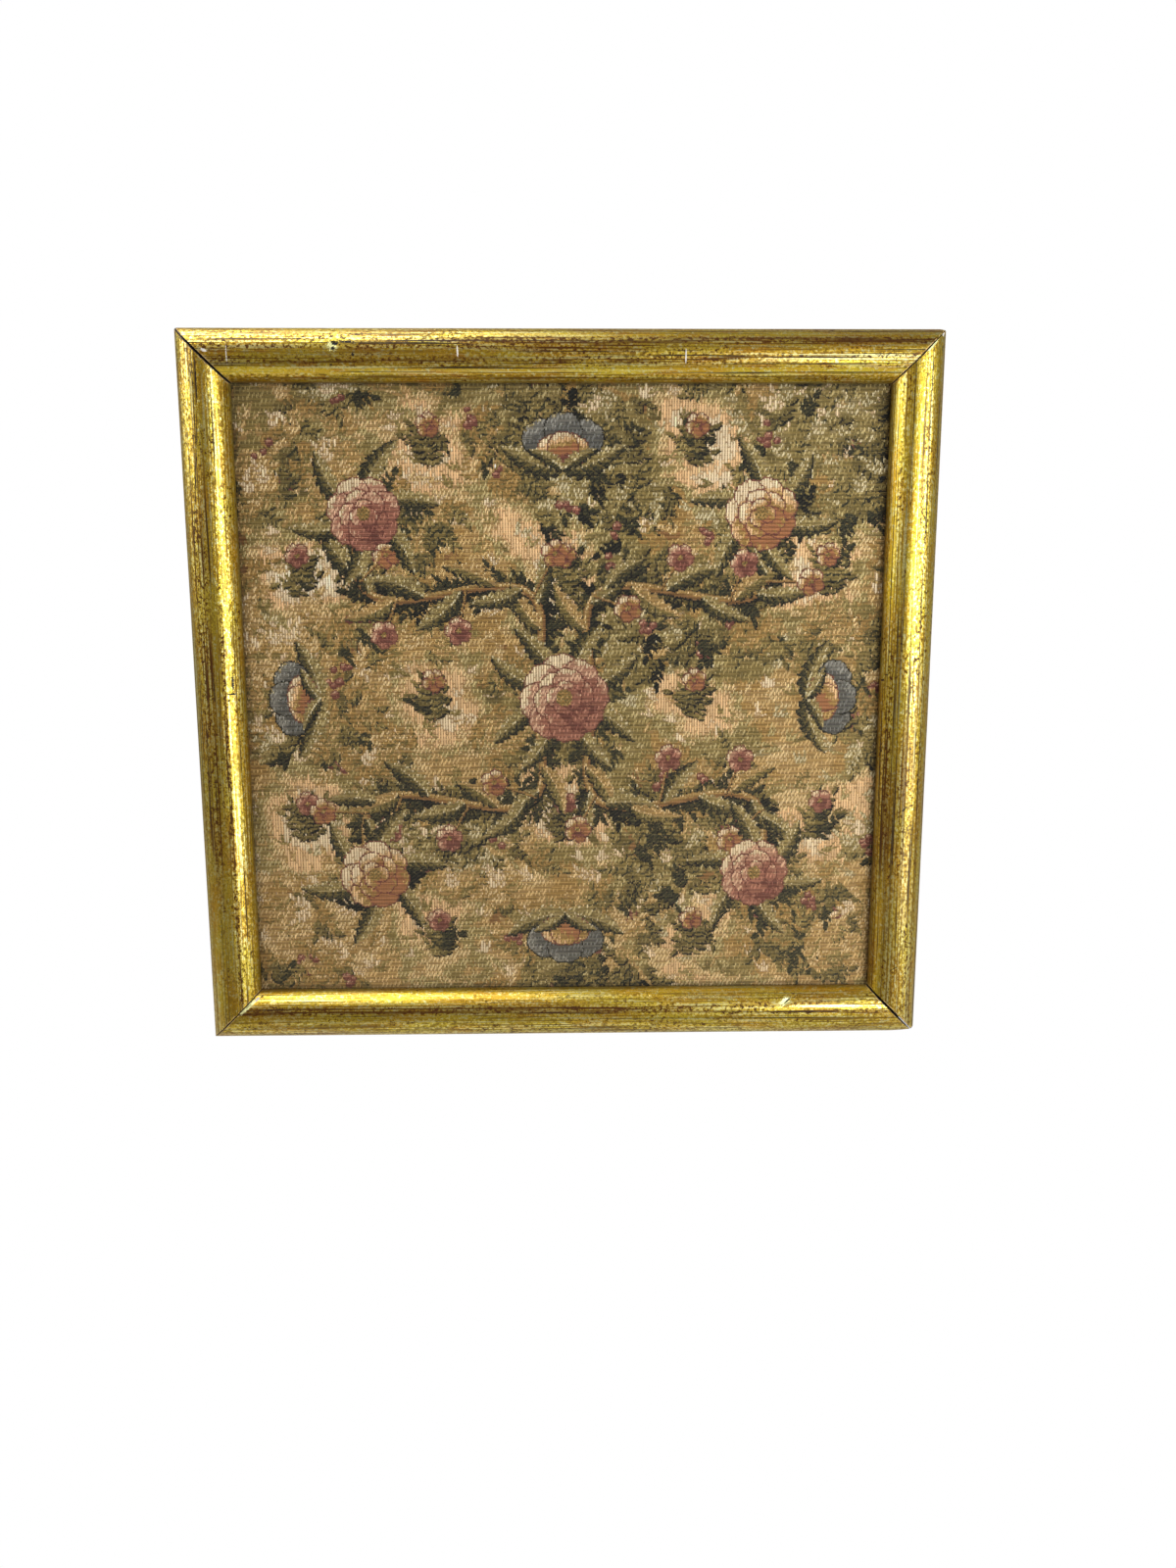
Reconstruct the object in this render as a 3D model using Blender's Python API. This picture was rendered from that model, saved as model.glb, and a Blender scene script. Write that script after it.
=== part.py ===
"""Framed tapestry picture: a flat woven cloth in the rabbet of four mitred half-round gilt rails.

Metres, +Z up. The picture hangs upright with its face towards -Y and its back in the plane y = 0.
The origin is where it hangs: the middle of the top rail's flat back.
"""

import math

import bmesh
import bpy
from mathutils import Matrix, Vector

# The whole picture
WIDTH = 0.420
HEIGHT = 0.404

# The moulding's section: u runs from the outer edge to the sight edge, v from the back to the front
RAIL_WIDTH = 0.028
RAIL_DEPTH = 0.0205
SHOULDER_V = 0.011
LIP_BACK_V = 0.0075
RABBET_WIDTH = 0.006
BACK_EASE = 0.0006
ROLL_STEPS = 20

# The cloth, which lies in the rabbet against the back of the lip
CLOTH_THICKNESS = 0.002
SEAT_GAP = 0.0003

# Columns: the way to the corner along X and Z, how far its mitre has opened, and what has worn off
# the corner's tip along the edge that runs along X and along the one that runs along Z
CORNERS = {
    "top_left": (-1, 1, 0.0006, 0.0016, 0.0012),
    "top_right": (1, 1, 0.0004, 0.0030, 0.0013),
    "bottom_left": (-1, -1, 0.0003, 0.0008, 0.0006),
    "bottom_right": (1, -1, 0.0009, 0.0150, 0.0032),
}

# Columns: the turn about Y that brings the top rail's section here, and the two corners it meets
RAILS = {
    "rail_top": (0, ("top_left", "top_right")),
    "rail_right": (90, ("top_right", "bottom_right")),
    "rail_bottom": (180, ("bottom_right", "bottom_left")),
    "rail_left": (270, ("bottom_left", "top_left")),
}

# Linear red, green and blue
GILT_COLOUR = (0.52, 0.36, 0.08)
CLOTH_COLOUR = (0.20, 0.16, 0.08)

HANG_U = (RAIL_WIDTH - RABBET_WIDTH) / 2
CENTRE = Vector((0.0, 0.0, HANG_U - HEIGHT / 2))
CUTTER_SIZE = 0.09


def clear_scene():
    for obj in list(bpy.data.objects):
        bpy.data.objects.remove(obj, do_unlink=True)


def new_collection(name):
    collection = bpy.data.collections.new(name)
    bpy.context.scene.collection.children.link(collection)
    return collection


def new_material(name, colour, roughness, metallic):
    material = bpy.data.materials.new(name)
    material.use_nodes = True
    shader = material.node_tree.nodes["Principled BSDF"]
    shader.inputs["Base Color"].default_value = (*colour, 1.0)
    shader.inputs["Roughness"].default_value = roughness
    shader.inputs["Metallic"].default_value = metallic
    return material


def rail_section():
    """The moulding's outline in (u, v): flat back, outer side, half-round roll, lip and rabbet."""
    half = RAIL_WIDTH / 2
    rise = RAIL_DEPTH - SHOULDER_V
    radius = (half ** 2 + rise ** 2) / (2 * rise)
    reach = math.asin(half / radius)
    roll = []
    for step in range(ROLL_STEPS + 1):
        angle = -reach + 2 * reach * step / ROLL_STEPS
        u = half + radius * math.sin(angle)
        v = RAIL_DEPTH - radius * (1 - math.cos(angle))
        roll.append((u, v))
    eased_back = [(BACK_EASE, 0.0), (0.0, BACK_EASE)]
    rabbet_u = RAIL_WIDTH - RABBET_WIDTH
    lip_and_rabbet = [(RAIL_WIDTH, LIP_BACK_V), (rabbet_u, LIP_BACK_V), (rabbet_u, 0.0)]
    return eased_back + roll + lip_and_rabbet


def extruded_mesh(name, outline, length):
    """A mesh that extrudes an (x, y) outline both ways along Z, closed at its ends."""
    curve = bpy.data.curves.new(name, "CURVE")
    curve.dimensions = "2D"
    curve.fill_mode = "BOTH"
    curve.extrude = length / 2
    spline = curve.splines.new("POLY")
    spline.points.add(len(outline) - 1)
    for point, (x, y) in zip(spline.points, outline):
        point.co = (x, y, 0.0, 1.0)
    spline.use_cyclic_u = True
    guide = bpy.data.objects.new(name + "_outline", curve)
    bpy.context.scene.collection.objects.link(guide)
    evaluated = guide.evaluated_get(bpy.context.evaluated_depsgraph_get())
    mesh = bpy.data.meshes.new_from_object(evaluated)
    mesh.name = name
    bpy.data.objects.remove(guide, do_unlink=True)
    bpy.data.curves.remove(curve)

    shape = bmesh.new()
    shape.from_mesh(mesh)
    bmesh.ops.remove_doubles(shape, verts=shape.verts, dist=0.00001)
    bmesh.ops.recalc_face_normals(shape, faces=shape.faces)
    shape.to_mesh(mesh)
    shape.free()
    return mesh


def make_rail(name, turn_degrees, collection, material):
    """One rail before its mitres are cut: its outer edge is at z = 0 in its own frame."""
    across_x = turn_degrees % 180 == 0
    length = WIDTH if across_x else HEIGHT
    outer = (HEIGHT if across_x else WIDTH) / 2
    mesh = extruded_mesh(name, rail_section(), length)
    stand_up = Matrix(((0, 0, -1), (0, -1, 0), (-1, 0, 0))).to_4x4()
    mesh.transform(stand_up)
    mesh.materials.clear()
    mesh.materials.append(material)
    rail = bpy.data.objects.new(name, mesh)
    collection.objects.link(rail)
    turn = Matrix.Rotation(math.radians(turn_degrees), 4, "Y")
    rail.matrix_world = Matrix.Translation(CENTRE) @ turn @ Matrix.Translation((0, 0, outer))
    return rail


def make_cutter(name, face_point, outward, collection):
    """A cube that takes away what lies beyond a plane: outward is the plane's way in XZ."""
    bpy.ops.mesh.primitive_cube_add(size=CUTTER_SIZE)
    cutter = bpy.context.object
    cutter.name = name
    cutter.hide_render = True
    cutter.display_type = "WIRE"
    for owner in list(cutter.users_collection):
        owner.objects.unlink(cutter)
    collection.objects.link(cutter)
    way = Vector((outward[0], 0.0, outward[1])).normalized()
    cutter.rotation_euler = (0.0, math.atan2(way.x, way.z), 0.0)
    cutter.location = face_point + way * (CUTTER_SIZE / 2)
    return cutter


def cut(obj, cutter):
    boolean = obj.modifiers.new(cutter.name, "BOOLEAN")
    boolean.operation = "DIFFERENCE"
    boolean.solver = "EXACT"
    boolean.object = cutter


def corner_point(corner):
    side_x, side_z = CORNERS[corner][:2]
    return CENTRE + Vector((side_x * WIDTH / 2, 0.0, side_z * HEIGHT / 2))


def cut_mitre(rail, corner, along_x, collection):
    """Cuts the rail back from its corner's diagonal by half of the mitre's opening."""
    side_x, side_z, opening = CORNERS[corner][:3]
    keep = Vector((-side_x, 0.0, side_z)).normalized()
    away = -keep if along_x else keep
    inward = Vector((-side_x, 0.0, -side_z)) * (RAIL_WIDTH / 2)
    face_point = corner_point(corner) + inward - away * (opening / 2)
    name = "mitre_" + rail.name + "_" + corner
    cut(rail, make_cutter(name, face_point, (away.x, away.z), collection))


def make_wear_cutter(corner, collection):
    """A cutter for the worn tip of a corner, through a point on each of its two outer edges."""
    side_x, side_z, _, wear_x, wear_z = CORNERS[corner]
    on_x_edge = corner_point(corner) - Vector((side_x * wear_x, 0.0, 0.0))
    on_z_edge = corner_point(corner) - Vector((0.0, 0.0, side_z * wear_z))
    outward = (side_x * wear_z, side_z * wear_x)
    middle = (on_x_edge + on_z_edge) / 2
    return make_cutter("wear_" + corner, middle, outward, collection)


def make_cloth(collection, material):
    """The tapestry: a flat sheet whose margins lie in the rabbet, close behind the lip."""
    margin = RAIL_WIDTH - RABBET_WIDTH + SEAT_GAP
    front_y = -(LIP_BACK_V - SEAT_GAP)
    bpy.ops.mesh.primitive_cube_add(size=1.0)
    cloth = bpy.context.object
    cloth.name = "tapestry"
    cloth.data.name = "tapestry"
    size = Vector((WIDTH - 2 * margin, CLOTH_THICKNESS, HEIGHT - 2 * margin))
    cloth.data.transform(Matrix.Diagonal(size).to_4x4())
    cloth.location = CENTRE + Vector((0.0, front_y + CLOTH_THICKNESS / 2, 0.0))
    cloth.data.materials.append(material)
    for owner in list(cloth.users_collection):
        owner.objects.unlink(cloth)
    collection.objects.link(cloth)
    return cloth


def build():
    clear_scene()
    parts = new_collection("framed_tapestry_picture")
    cutters = new_collection("cutters")
    wear_cutters = {corner: make_wear_cutter(corner, cutters) for corner in CORNERS}
    for name, (turn_degrees, corners) in RAILS.items():
        gilt = new_material("gilt_" + name, GILT_COLOUR, 0.35, 0.8)
        rail = make_rail(name, turn_degrees, parts, gilt)
        for corner in corners:
            cut_mitre(rail, corner, turn_degrees % 180 == 0, cutters)
            cut(rail, wear_cutters[corner])
    make_cloth(parts, new_material("woven_cloth", CLOTH_COLOUR, 0.9, 0.0))


build()
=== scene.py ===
"""Framed tapestry picture: a woven verdure cloth in four mitred half-round gilt rails.

Metres, +Z up. The picture hangs upright with its face towards -Y and its back in the plane y = 0.
"""

import logging
import math
from dataclasses import dataclass
from enum import Enum
from typing import Any

import bpy
import numpy as np
from mathutils import Matrix, Vector


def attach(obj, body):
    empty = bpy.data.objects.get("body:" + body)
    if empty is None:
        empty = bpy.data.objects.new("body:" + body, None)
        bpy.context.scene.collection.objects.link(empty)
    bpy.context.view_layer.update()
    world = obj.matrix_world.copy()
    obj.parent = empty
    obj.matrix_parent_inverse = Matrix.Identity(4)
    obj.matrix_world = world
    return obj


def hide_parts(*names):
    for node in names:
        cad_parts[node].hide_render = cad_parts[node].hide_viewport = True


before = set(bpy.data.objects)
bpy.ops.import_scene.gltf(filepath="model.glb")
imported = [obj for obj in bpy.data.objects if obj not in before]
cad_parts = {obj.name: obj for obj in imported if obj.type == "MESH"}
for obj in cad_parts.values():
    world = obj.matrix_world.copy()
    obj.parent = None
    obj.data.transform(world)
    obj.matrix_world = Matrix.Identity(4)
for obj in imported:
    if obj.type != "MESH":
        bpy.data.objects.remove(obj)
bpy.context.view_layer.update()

MM = 0.001
PICTURE_WIDTH = 0.420
PICTURE_HEIGHT = 0.404
HANG_U = 0.011
CENTRE = Vector((0.0, 0.0, HANG_U - PICTURE_HEIGHT / 2))
RAIL_MAP = "rail_metres"
CLOTH_MAP = "cloth_metres"
BAKE_MAP = "OFBake"

Pair = tuple[float, float]
Colour = tuple[float, float, float]
Place = tuple[float, float, float]
Ramp = tuple[str, ...]
Socket = bpy.types.NodeSocket
Material = bpy.types.Material
Piece = bpy.types.Object

ORIGIN = (0.0, 0.0, 0.0)
GREY = (0.5, 0.5, 0.5, 1.0)


def dye(red: float, green: float, blue: float) -> Colour:
    """Turns a screen colour of 0 to 255 into linear light.

    Args:
        red, green, blue: the colour as it looks on screen.

    Returns:
        The linear colour.
    """
    return tuple(
        value / 255 / 12.92 if value <= 10.31 else ((value / 255 + 0.055) / 1.055) ** 2.4
        for value in (red, green, blue)
    )


def kept_in(colour: np.ndarray) -> np.ndarray:
    """A colour kept within what a real dye can show."""
    return np.clip(colour, 0.003, 0.95)


def cloud(shape: tuple[int, int], cells: tuple[float, float], seed: int) -> np.ndarray:
    """Smooth random hills between 0 and 1.

    Args:
        shape: rows and columns of the result.
        cells: how many hills fit along the rows' way and along the columns' way.
        seed: which hills.

    Returns:
        An array of that shape.
    """
    lattice = np.random.default_rng(seed).random((int(cells[0]) + 3, int(cells[1]) + 3))
    rows = np.linspace(0, cells[0], shape[0])
    columns = np.linspace(0, cells[1], shape[1])
    row, column = rows.astype(int), columns.astype(int)
    up = (rows - row)[:, None]
    along = (columns - column)[None, :]
    up = up * up * (3 - 2 * up)
    along = along * along * (3 - 2 * along)
    low = lattice[row][:, column] * (1 - along) + lattice[row][:, column + 1] * along
    high = lattice[row + 1][:, column] * (1 - along) + lattice[row + 1][:, column + 1] * along
    return low * (1 - up) + high * up


class NodeDesk:
    """Places nodes in one tree and wires them."""

    def __init__(self, tree: bpy.types.NodeTree) -> None:
        """Takes the tree to work in."""
        self.tree = tree

    def put(self, kind: str, inputs: dict[Any, Any] | None = None, **settings: Any) -> bpy.types.Node:
        """Adds a node.

        Args:
            kind: the node's type.
            inputs: a value or another node's output for each input that isn't left as it is.
            settings: the node's own settings.

        Returns:
            The node.
        """
        node = self.tree.nodes.new(kind)
        for name, value in settings.items():
            setattr(node, name, value)
        for name, value in (inputs or {}).items():
            self.feed(node.inputs[name], value)
        return node

    def feed(self, socket: Socket, value: Any) -> None:
        """Gives an input its value, or links it where the value is an output.

        Args:
            socket: the input.
            value: an output, a number, a vector or a colour.
        """
        if isinstance(value, Socket):
            self.tree.links.new(value, socket)
        elif socket.type == "RGBA" and len(value) == 3:
            socket.default_value = (*value, 1.0)
        else:
            socket.default_value = value

    def math(self, operation: str, first: Any, second: Any = 0.0, clamp: bool = False) -> Socket:
        """Works out one sum of numbers, kept between 0 and 1 where it is clamped."""
        node = self.put("ShaderNodeMath", {0: first, 1: second}, operation=operation, use_clamp=clamp)
        return node.outputs[0]

    def times(self, first: Any, second: Any) -> Socket:
        """One number times another."""
        return self.math("MULTIPLY", first, second)

    def plus(self, first: Any, second: Any, clamp: bool = False) -> Socket:
        """One number plus another, kept between 0 and 1 where it is clamped."""
        return self.math("ADD", first, second, clamp)

    def less(self, first: Any, second: Any, clamp: bool = False) -> Socket:
        """One number less another, kept between 0 and 1 where it is clamped."""
        return self.math("SUBTRACT", first, second, clamp)

    def most(self, values: list[Any]) -> Any:
        """The largest of several masks.

        Args:
            values: outputs.

        Returns:
            Their maximum, or 0 where there is none.
        """
        result: Any = 0.0
        for value in values:
            result = self.math("MAXIMUM", result, value)
        return result

    def mix(self, amount: Any, first: Any, second: Any, blend: str = "MIX") -> Socket:
        """Mixes two colours: the amount is how much of the second."""
        inputs = {0: amount, 6: first, 7: second}
        return self.put("ShaderNodeMix", inputs, data_type="RGBA", blend_type=blend).outputs[2]

    def between(self, amount: Any, first: Any, second: Any) -> Socket:
        """Mixes two numbers: the amount is how much of the second."""
        inputs = {0: amount, 2: first, 3: second}
        return self.put("ShaderNodeMix", inputs, data_type="FLOAT").outputs[0]

    def noise(self, place: Any, scale: float, detail: float = 2.0, rough: float = 0.5) -> Socket:
        """Noise about 0.5: finer where the scale is higher, with more octaves where the detail is."""
        inputs = {"Vector": place, "Scale": scale, "Detail": detail, "Roughness": rough}
        return self.put("ShaderNodeTexNoise", inputs).outputs[0]

    def drawn(self, place: Any, scale: Any, detail: float = 3.0, rough: float = 0.5) -> Socket:
        """Noise about 0.5 that is finer along one axis than along another."""
        return self.noise(self.stretch(place, scale), 1.0, detail, rough)

    def step(self, value: Any, low: Any, high: Any) -> Socket:
        """Rises smoothly from 0 at low to 1 at high, or falls where high is the lower one."""
        inputs = {0: value, 1: low, 2: high}
        return self.put("ShaderNodeMapRange", inputs, interpolation_type="SMOOTHSTEP").outputs[0]

    def stretch(self, place: Any, scale: Any, shift: Any = (0.0, 0.0, 0.0)) -> Socket:
        """Shifts a place, then scales it.

        Args:
            place: a vector.
            scale: one factor for each axis.
            shift: what is added first.

        Returns:
            The new vector.
        """
        moved = self.put("ShaderNodeVectorMath", {0: place, 1: shift}, operation="ADD")
        scaled = self.put("ShaderNodeVectorMath", {0: moved.outputs[0], 1: scale}, operation="MULTIPLY")
        return scaled.outputs[0]

    def split(self, place: Any) -> Any:
        """The three outputs of a vector's parts."""
        return self.put("ShaderNodeSeparateXYZ", {0: place}).outputs

    def join(self, x: Any, y: Any, z: Any = 0.0) -> Socket:
        """One vector from three numbers."""
        return self.put("ShaderNodeCombineXYZ", {0: x, 1: y, 2: z}).outputs[0]

    def dim(self, colour: Any, factor: Any) -> Socket:
        """A colour times a number."""
        return self.mix(1.0, colour, self.join(factor, factor, factor), "MULTIPLY")

    def mapped(self, layer: str) -> Socket:
        """Where the surface lies on one of its maps."""
        return self.put("ShaderNodeUVMap", None, uv_map=layer).outputs[0]

    def stored(self, name: str, output: str) -> Socket:
        """What the mesh stores under a name."""
        return self.put("ShaderNodeAttribute", None, attribute_name=name).outputs[output]

    def bump(self, height: Any, distance: float, strength: float = 1.0) -> Socket:
        """A normal from a height of about 0 to 1, of which one unit is the distance in metres."""
        inputs = {"Height": height, "Distance": distance, "Strength": strength}
        return self.put("ShaderNodeBump", inputs).outputs[0]


class Effect:
    """A shader node group that several materials place, each with its own values."""

    def __init__(self, name: str, takes: dict[str, Any], gives: dict[str, str]) -> None:
        """Makes the empty group.

        Args:
            name: the group's name.
            takes: each input's name and first value.
            gives: each output's name and kind, Float, Color or Vector.
        """
        self.tree = bpy.data.node_groups.new(name, "ShaderNodeTree")
        face = self.tree.interface
        for label, start in takes.items():
            kind = "Float" if isinstance(start, float) else {3: "Vector", 4: "Color"}[len(start)]
            socket = face.new_socket(label, in_out="INPUT", socket_type="NodeSocket" + kind)
            socket.default_value = start
        for label, kind in gives.items():
            face.new_socket(label, in_out="OUTPUT", socket_type="NodeSocket" + kind)
        self.desk = NodeDesk(self.tree)
        self.taken = self.tree.nodes.new("NodeGroupInput").outputs
        self.given = self.tree.nodes.new("NodeGroupOutput").inputs

    def give(self, **results: Any) -> None:
        """Links the group's outputs, by name."""
        for label, value in results.items():
            self.desk.feed(self.given[label], value)

    def place(self, desk: NodeDesk, values: dict[str, Any]) -> Any:
        """Puts the group in a material.

        Args:
            desk: the material's desk.
            values: the inputs' values.

        Returns:
            The placed group's outputs.
        """
        node = desk.put("ShaderNodeGroup", None, node_tree=self.tree)
        for label, value in values.items():
            desk.feed(node.inputs[label], value)
        return node.outputs


class EffectShelf:
    """The effects that more than one finish uses."""

    def __init__(self) -> None:
        """Builds them all once."""
        self.streaks = self._streaks()
        self.flake = self._flake()
        self.dust = self._dust()
        self.fibre = self._fibre()

    def streaked(self, desk: NodeDesk, place: Any, fineness: Pair, rise: Pair) -> Any:
        """The drawn streaks, so fine along and across; their mask starts and is full at the rise."""
        values = dict(zip(("Along", "Across", "Low", "High"), fineness + rise))
        return self.streaks.place(desk, {"Place": place, **values})

    def dusted(self, desk: NodeDesk, colour: Any, amount: float) -> Socket:
        """A colour under settled dust."""
        return self.dust.place(desk, {"Colour": colour, "Amount": amount})["Colour"]

    def _streaks(self) -> Effect:
        """Fine lines drawn out along a piece: toning left in a gilder's brush marks, or wood grain.

        Returns:
            The effect.
        """
        takes = {"Place": ORIGIN, "Along": 40.0, "Across": 1500.0, "Low": 0.5, "High": 0.6}
        effect = Effect("drawn_streaks", takes, {"Mask": "Float", "Height": "Float"})
        desk, taken = effect.desk, effect.taken
        scale = desk.join(taken["Along"], taken["Across"], 1.0)
        value = desk.drawn(taken["Place"], scale, rough=0.62)
        effect.give(Mask=desk.step(value, taken["Low"], taken["High"]), Height=value)
        return effect

    def _flake(self) -> Effect:
        """A ragged patch where a finish has come off, or a crack if it is narrow.

        Returns:
            The effect.
        """
        takes = {"Place": ORIGIN, "Middle": ORIGIN, "Turn": 0.0, "Ragged": 0.6}
        takes |= {"Half Length": 0.002, "Half Width": 0.001}
        effect = Effect("flaked_patch", takes, {"Mask": "Float"})
        desk, taken = effect.desk, effect.taken
        ends = {0: taken["Place"], 1: taken["Middle"]}
        away = desk.put("ShaderNodeVectorMath", ends, operation="SUBTRACT").outputs[0]
        turn = {"Vector": away, "Angle": desk.times(taken["Turn"], -1.0)}
        turned = desk.split(desk.put("ShaderNodeVectorRotate", turn, rotation_type="Z_AXIS").outputs[0])
        squares = []
        for part, half in zip(turned, ("Half Length", "Half Width")):
            share = desk.math("ABSOLUTE", desk.math("DIVIDE", part, taken[half]))
            squares.append(desk.math("POWER", share, 2.0))
        reach = desk.math("SQRT", desk.plus(*squares))
        tear = desk.less(desk.noise(taken["Place"], 1400.0), 0.5)
        torn = desk.plus(reach, desk.times(tear, desk.times(taken["Ragged"], 3.0)))
        effect.give(Mask=desk.step(torn, 1.1, 0.8))
        return effect

    def _dust(self) -> Effect:
        """Pale dust that has settled where a surface looks up.

        Returns:
            The effect.
        """
        effect = Effect("settled_dust", {"Colour": GREY, "Amount": 0.1}, {"Colour": "Color"})
        desk, taken = effect.desk, effect.taken
        sight = desk.put("ShaderNodeNewGeometry").outputs
        upward = desk.step(desk.split(sight["Normal"])[2], 0.1, 0.95)
        lie = desk.step(desk.noise(sight["Position"], 420.0, 4.0, 0.7), 0.42, 0.7)
        amount = desk.times(desk.times(upward, lie), taken["Amount"])
        effect.give(Colour=desk.mix(amount, taken["Colour"], dye(196, 186, 164)))
        return effect

    def _fibre(self) -> Effect:
        """Spun yarn: long fibres, the slant of the twist, and a few darker and paler lengths.

        Returns:
            The effect.
        """
        takes = {"Colour": GREY, "Place": ORIGIN, "Along": 300.0, "Across": 5000.0, "Contrast": 0.25}
        effect = Effect("yarn_fibre", takes, {"Colour": "Color", "Height": "Float"})
        desk, taken = effect.desk, effect.taken
        strands = desk.drawn(taken["Place"], desk.join(taken["Along"], taken["Across"], 1.0), rough=0.6)
        parts = desk.split(taken["Place"])
        twist = desk.math("SINE", desk.times(desk.plus(parts[0], parts[1]), 9000.0))
        lengths = desk.noise(taken["Place"], 160.0)
        light = desk.plus(desk.plus(strands, desk.times(twist, 0.07)), desk.times(lengths, 0.7))
        swing = desk.times(desk.less(light, 0.85), taken["Contrast"])
        factor = desk.plus(desk.times(swing, 2.0), 1.0)
        effect.give(Colour=desk.dim(taken["Colour"], factor), Height=light)
        return effect


class MarkKind(Enum):
    """What shows where the gilding is damaged, and the bright gold of a painted highlight."""

    # Bright gold, for rubbed spots and for a painted highlight streak on the bottom rail.
    RUBBED_AND_PAINTED_HIGHLIGHT = "bright rubbed gold"
    GESSO = "white ground"
    DARK = "dark filling"


@dataclass(frozen=True)
class Mark:
    """A damaged place on a rail's gilding, and how deep the dent under it is; one is a painted highlight
    instead.
    """

    kind: MarkKind
    along: float
    across: float
    half_length: float
    half_width: float
    depth: float
    turn: float
    ragged: float


def marks(table: dict[MarkKind, tuple[tuple[float, ...], ...]]) -> tuple[Mark, ...]:
    """Reads a table of marks.

    Args:
        table: for each kind its rows. The first five columns are in millimetres: the middle along the
            rail and across it, the half length, the half width and the dent's depth. Then come the
            turn in degrees and how ragged the edge is.

    Returns:
        The marks.
    """
    found = []
    for kind, rows in table.items():
        for *sizes, turn, ragged in rows:
            found.append(Mark(kind, *(size * MM for size in sizes), math.radians(turn), ragged))
    return tuple(found)


@dataclass(frozen=True)
class PaintedReflectionBand:
    """A strip along a rail that holds more toning than the rest, or less, between two places: painted shade
    where it holds more and a painted highlight where it holds less, laid where the rail's reflections fall
    darker and brighter.
    """

    middle: float
    half_width: float
    more: float
    start: float = -1.0
    end: float = 1.0
    fade: float = 0.03

    def mask(self, desk: NodeDesk, along: Any, across: Any) -> Any:
        """How far a place lies in the band.

        Args:
            desk: the material's desk.
            along, across: the place on the rail.

        Returns:
            The mask's output.
        """
        off_middle = desk.math("ABSOLUTE", desk.less(across, self.middle))
        begun = desk.step(along, self.start - self.fade, self.start + self.fade)
        going_on = desk.step(along, self.end + self.fade, self.end - self.fade)
        within = desk.step(off_middle, self.half_width, 0.3 * self.half_width)
        return desk.times(within, desk.times(begun, going_on))


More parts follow.
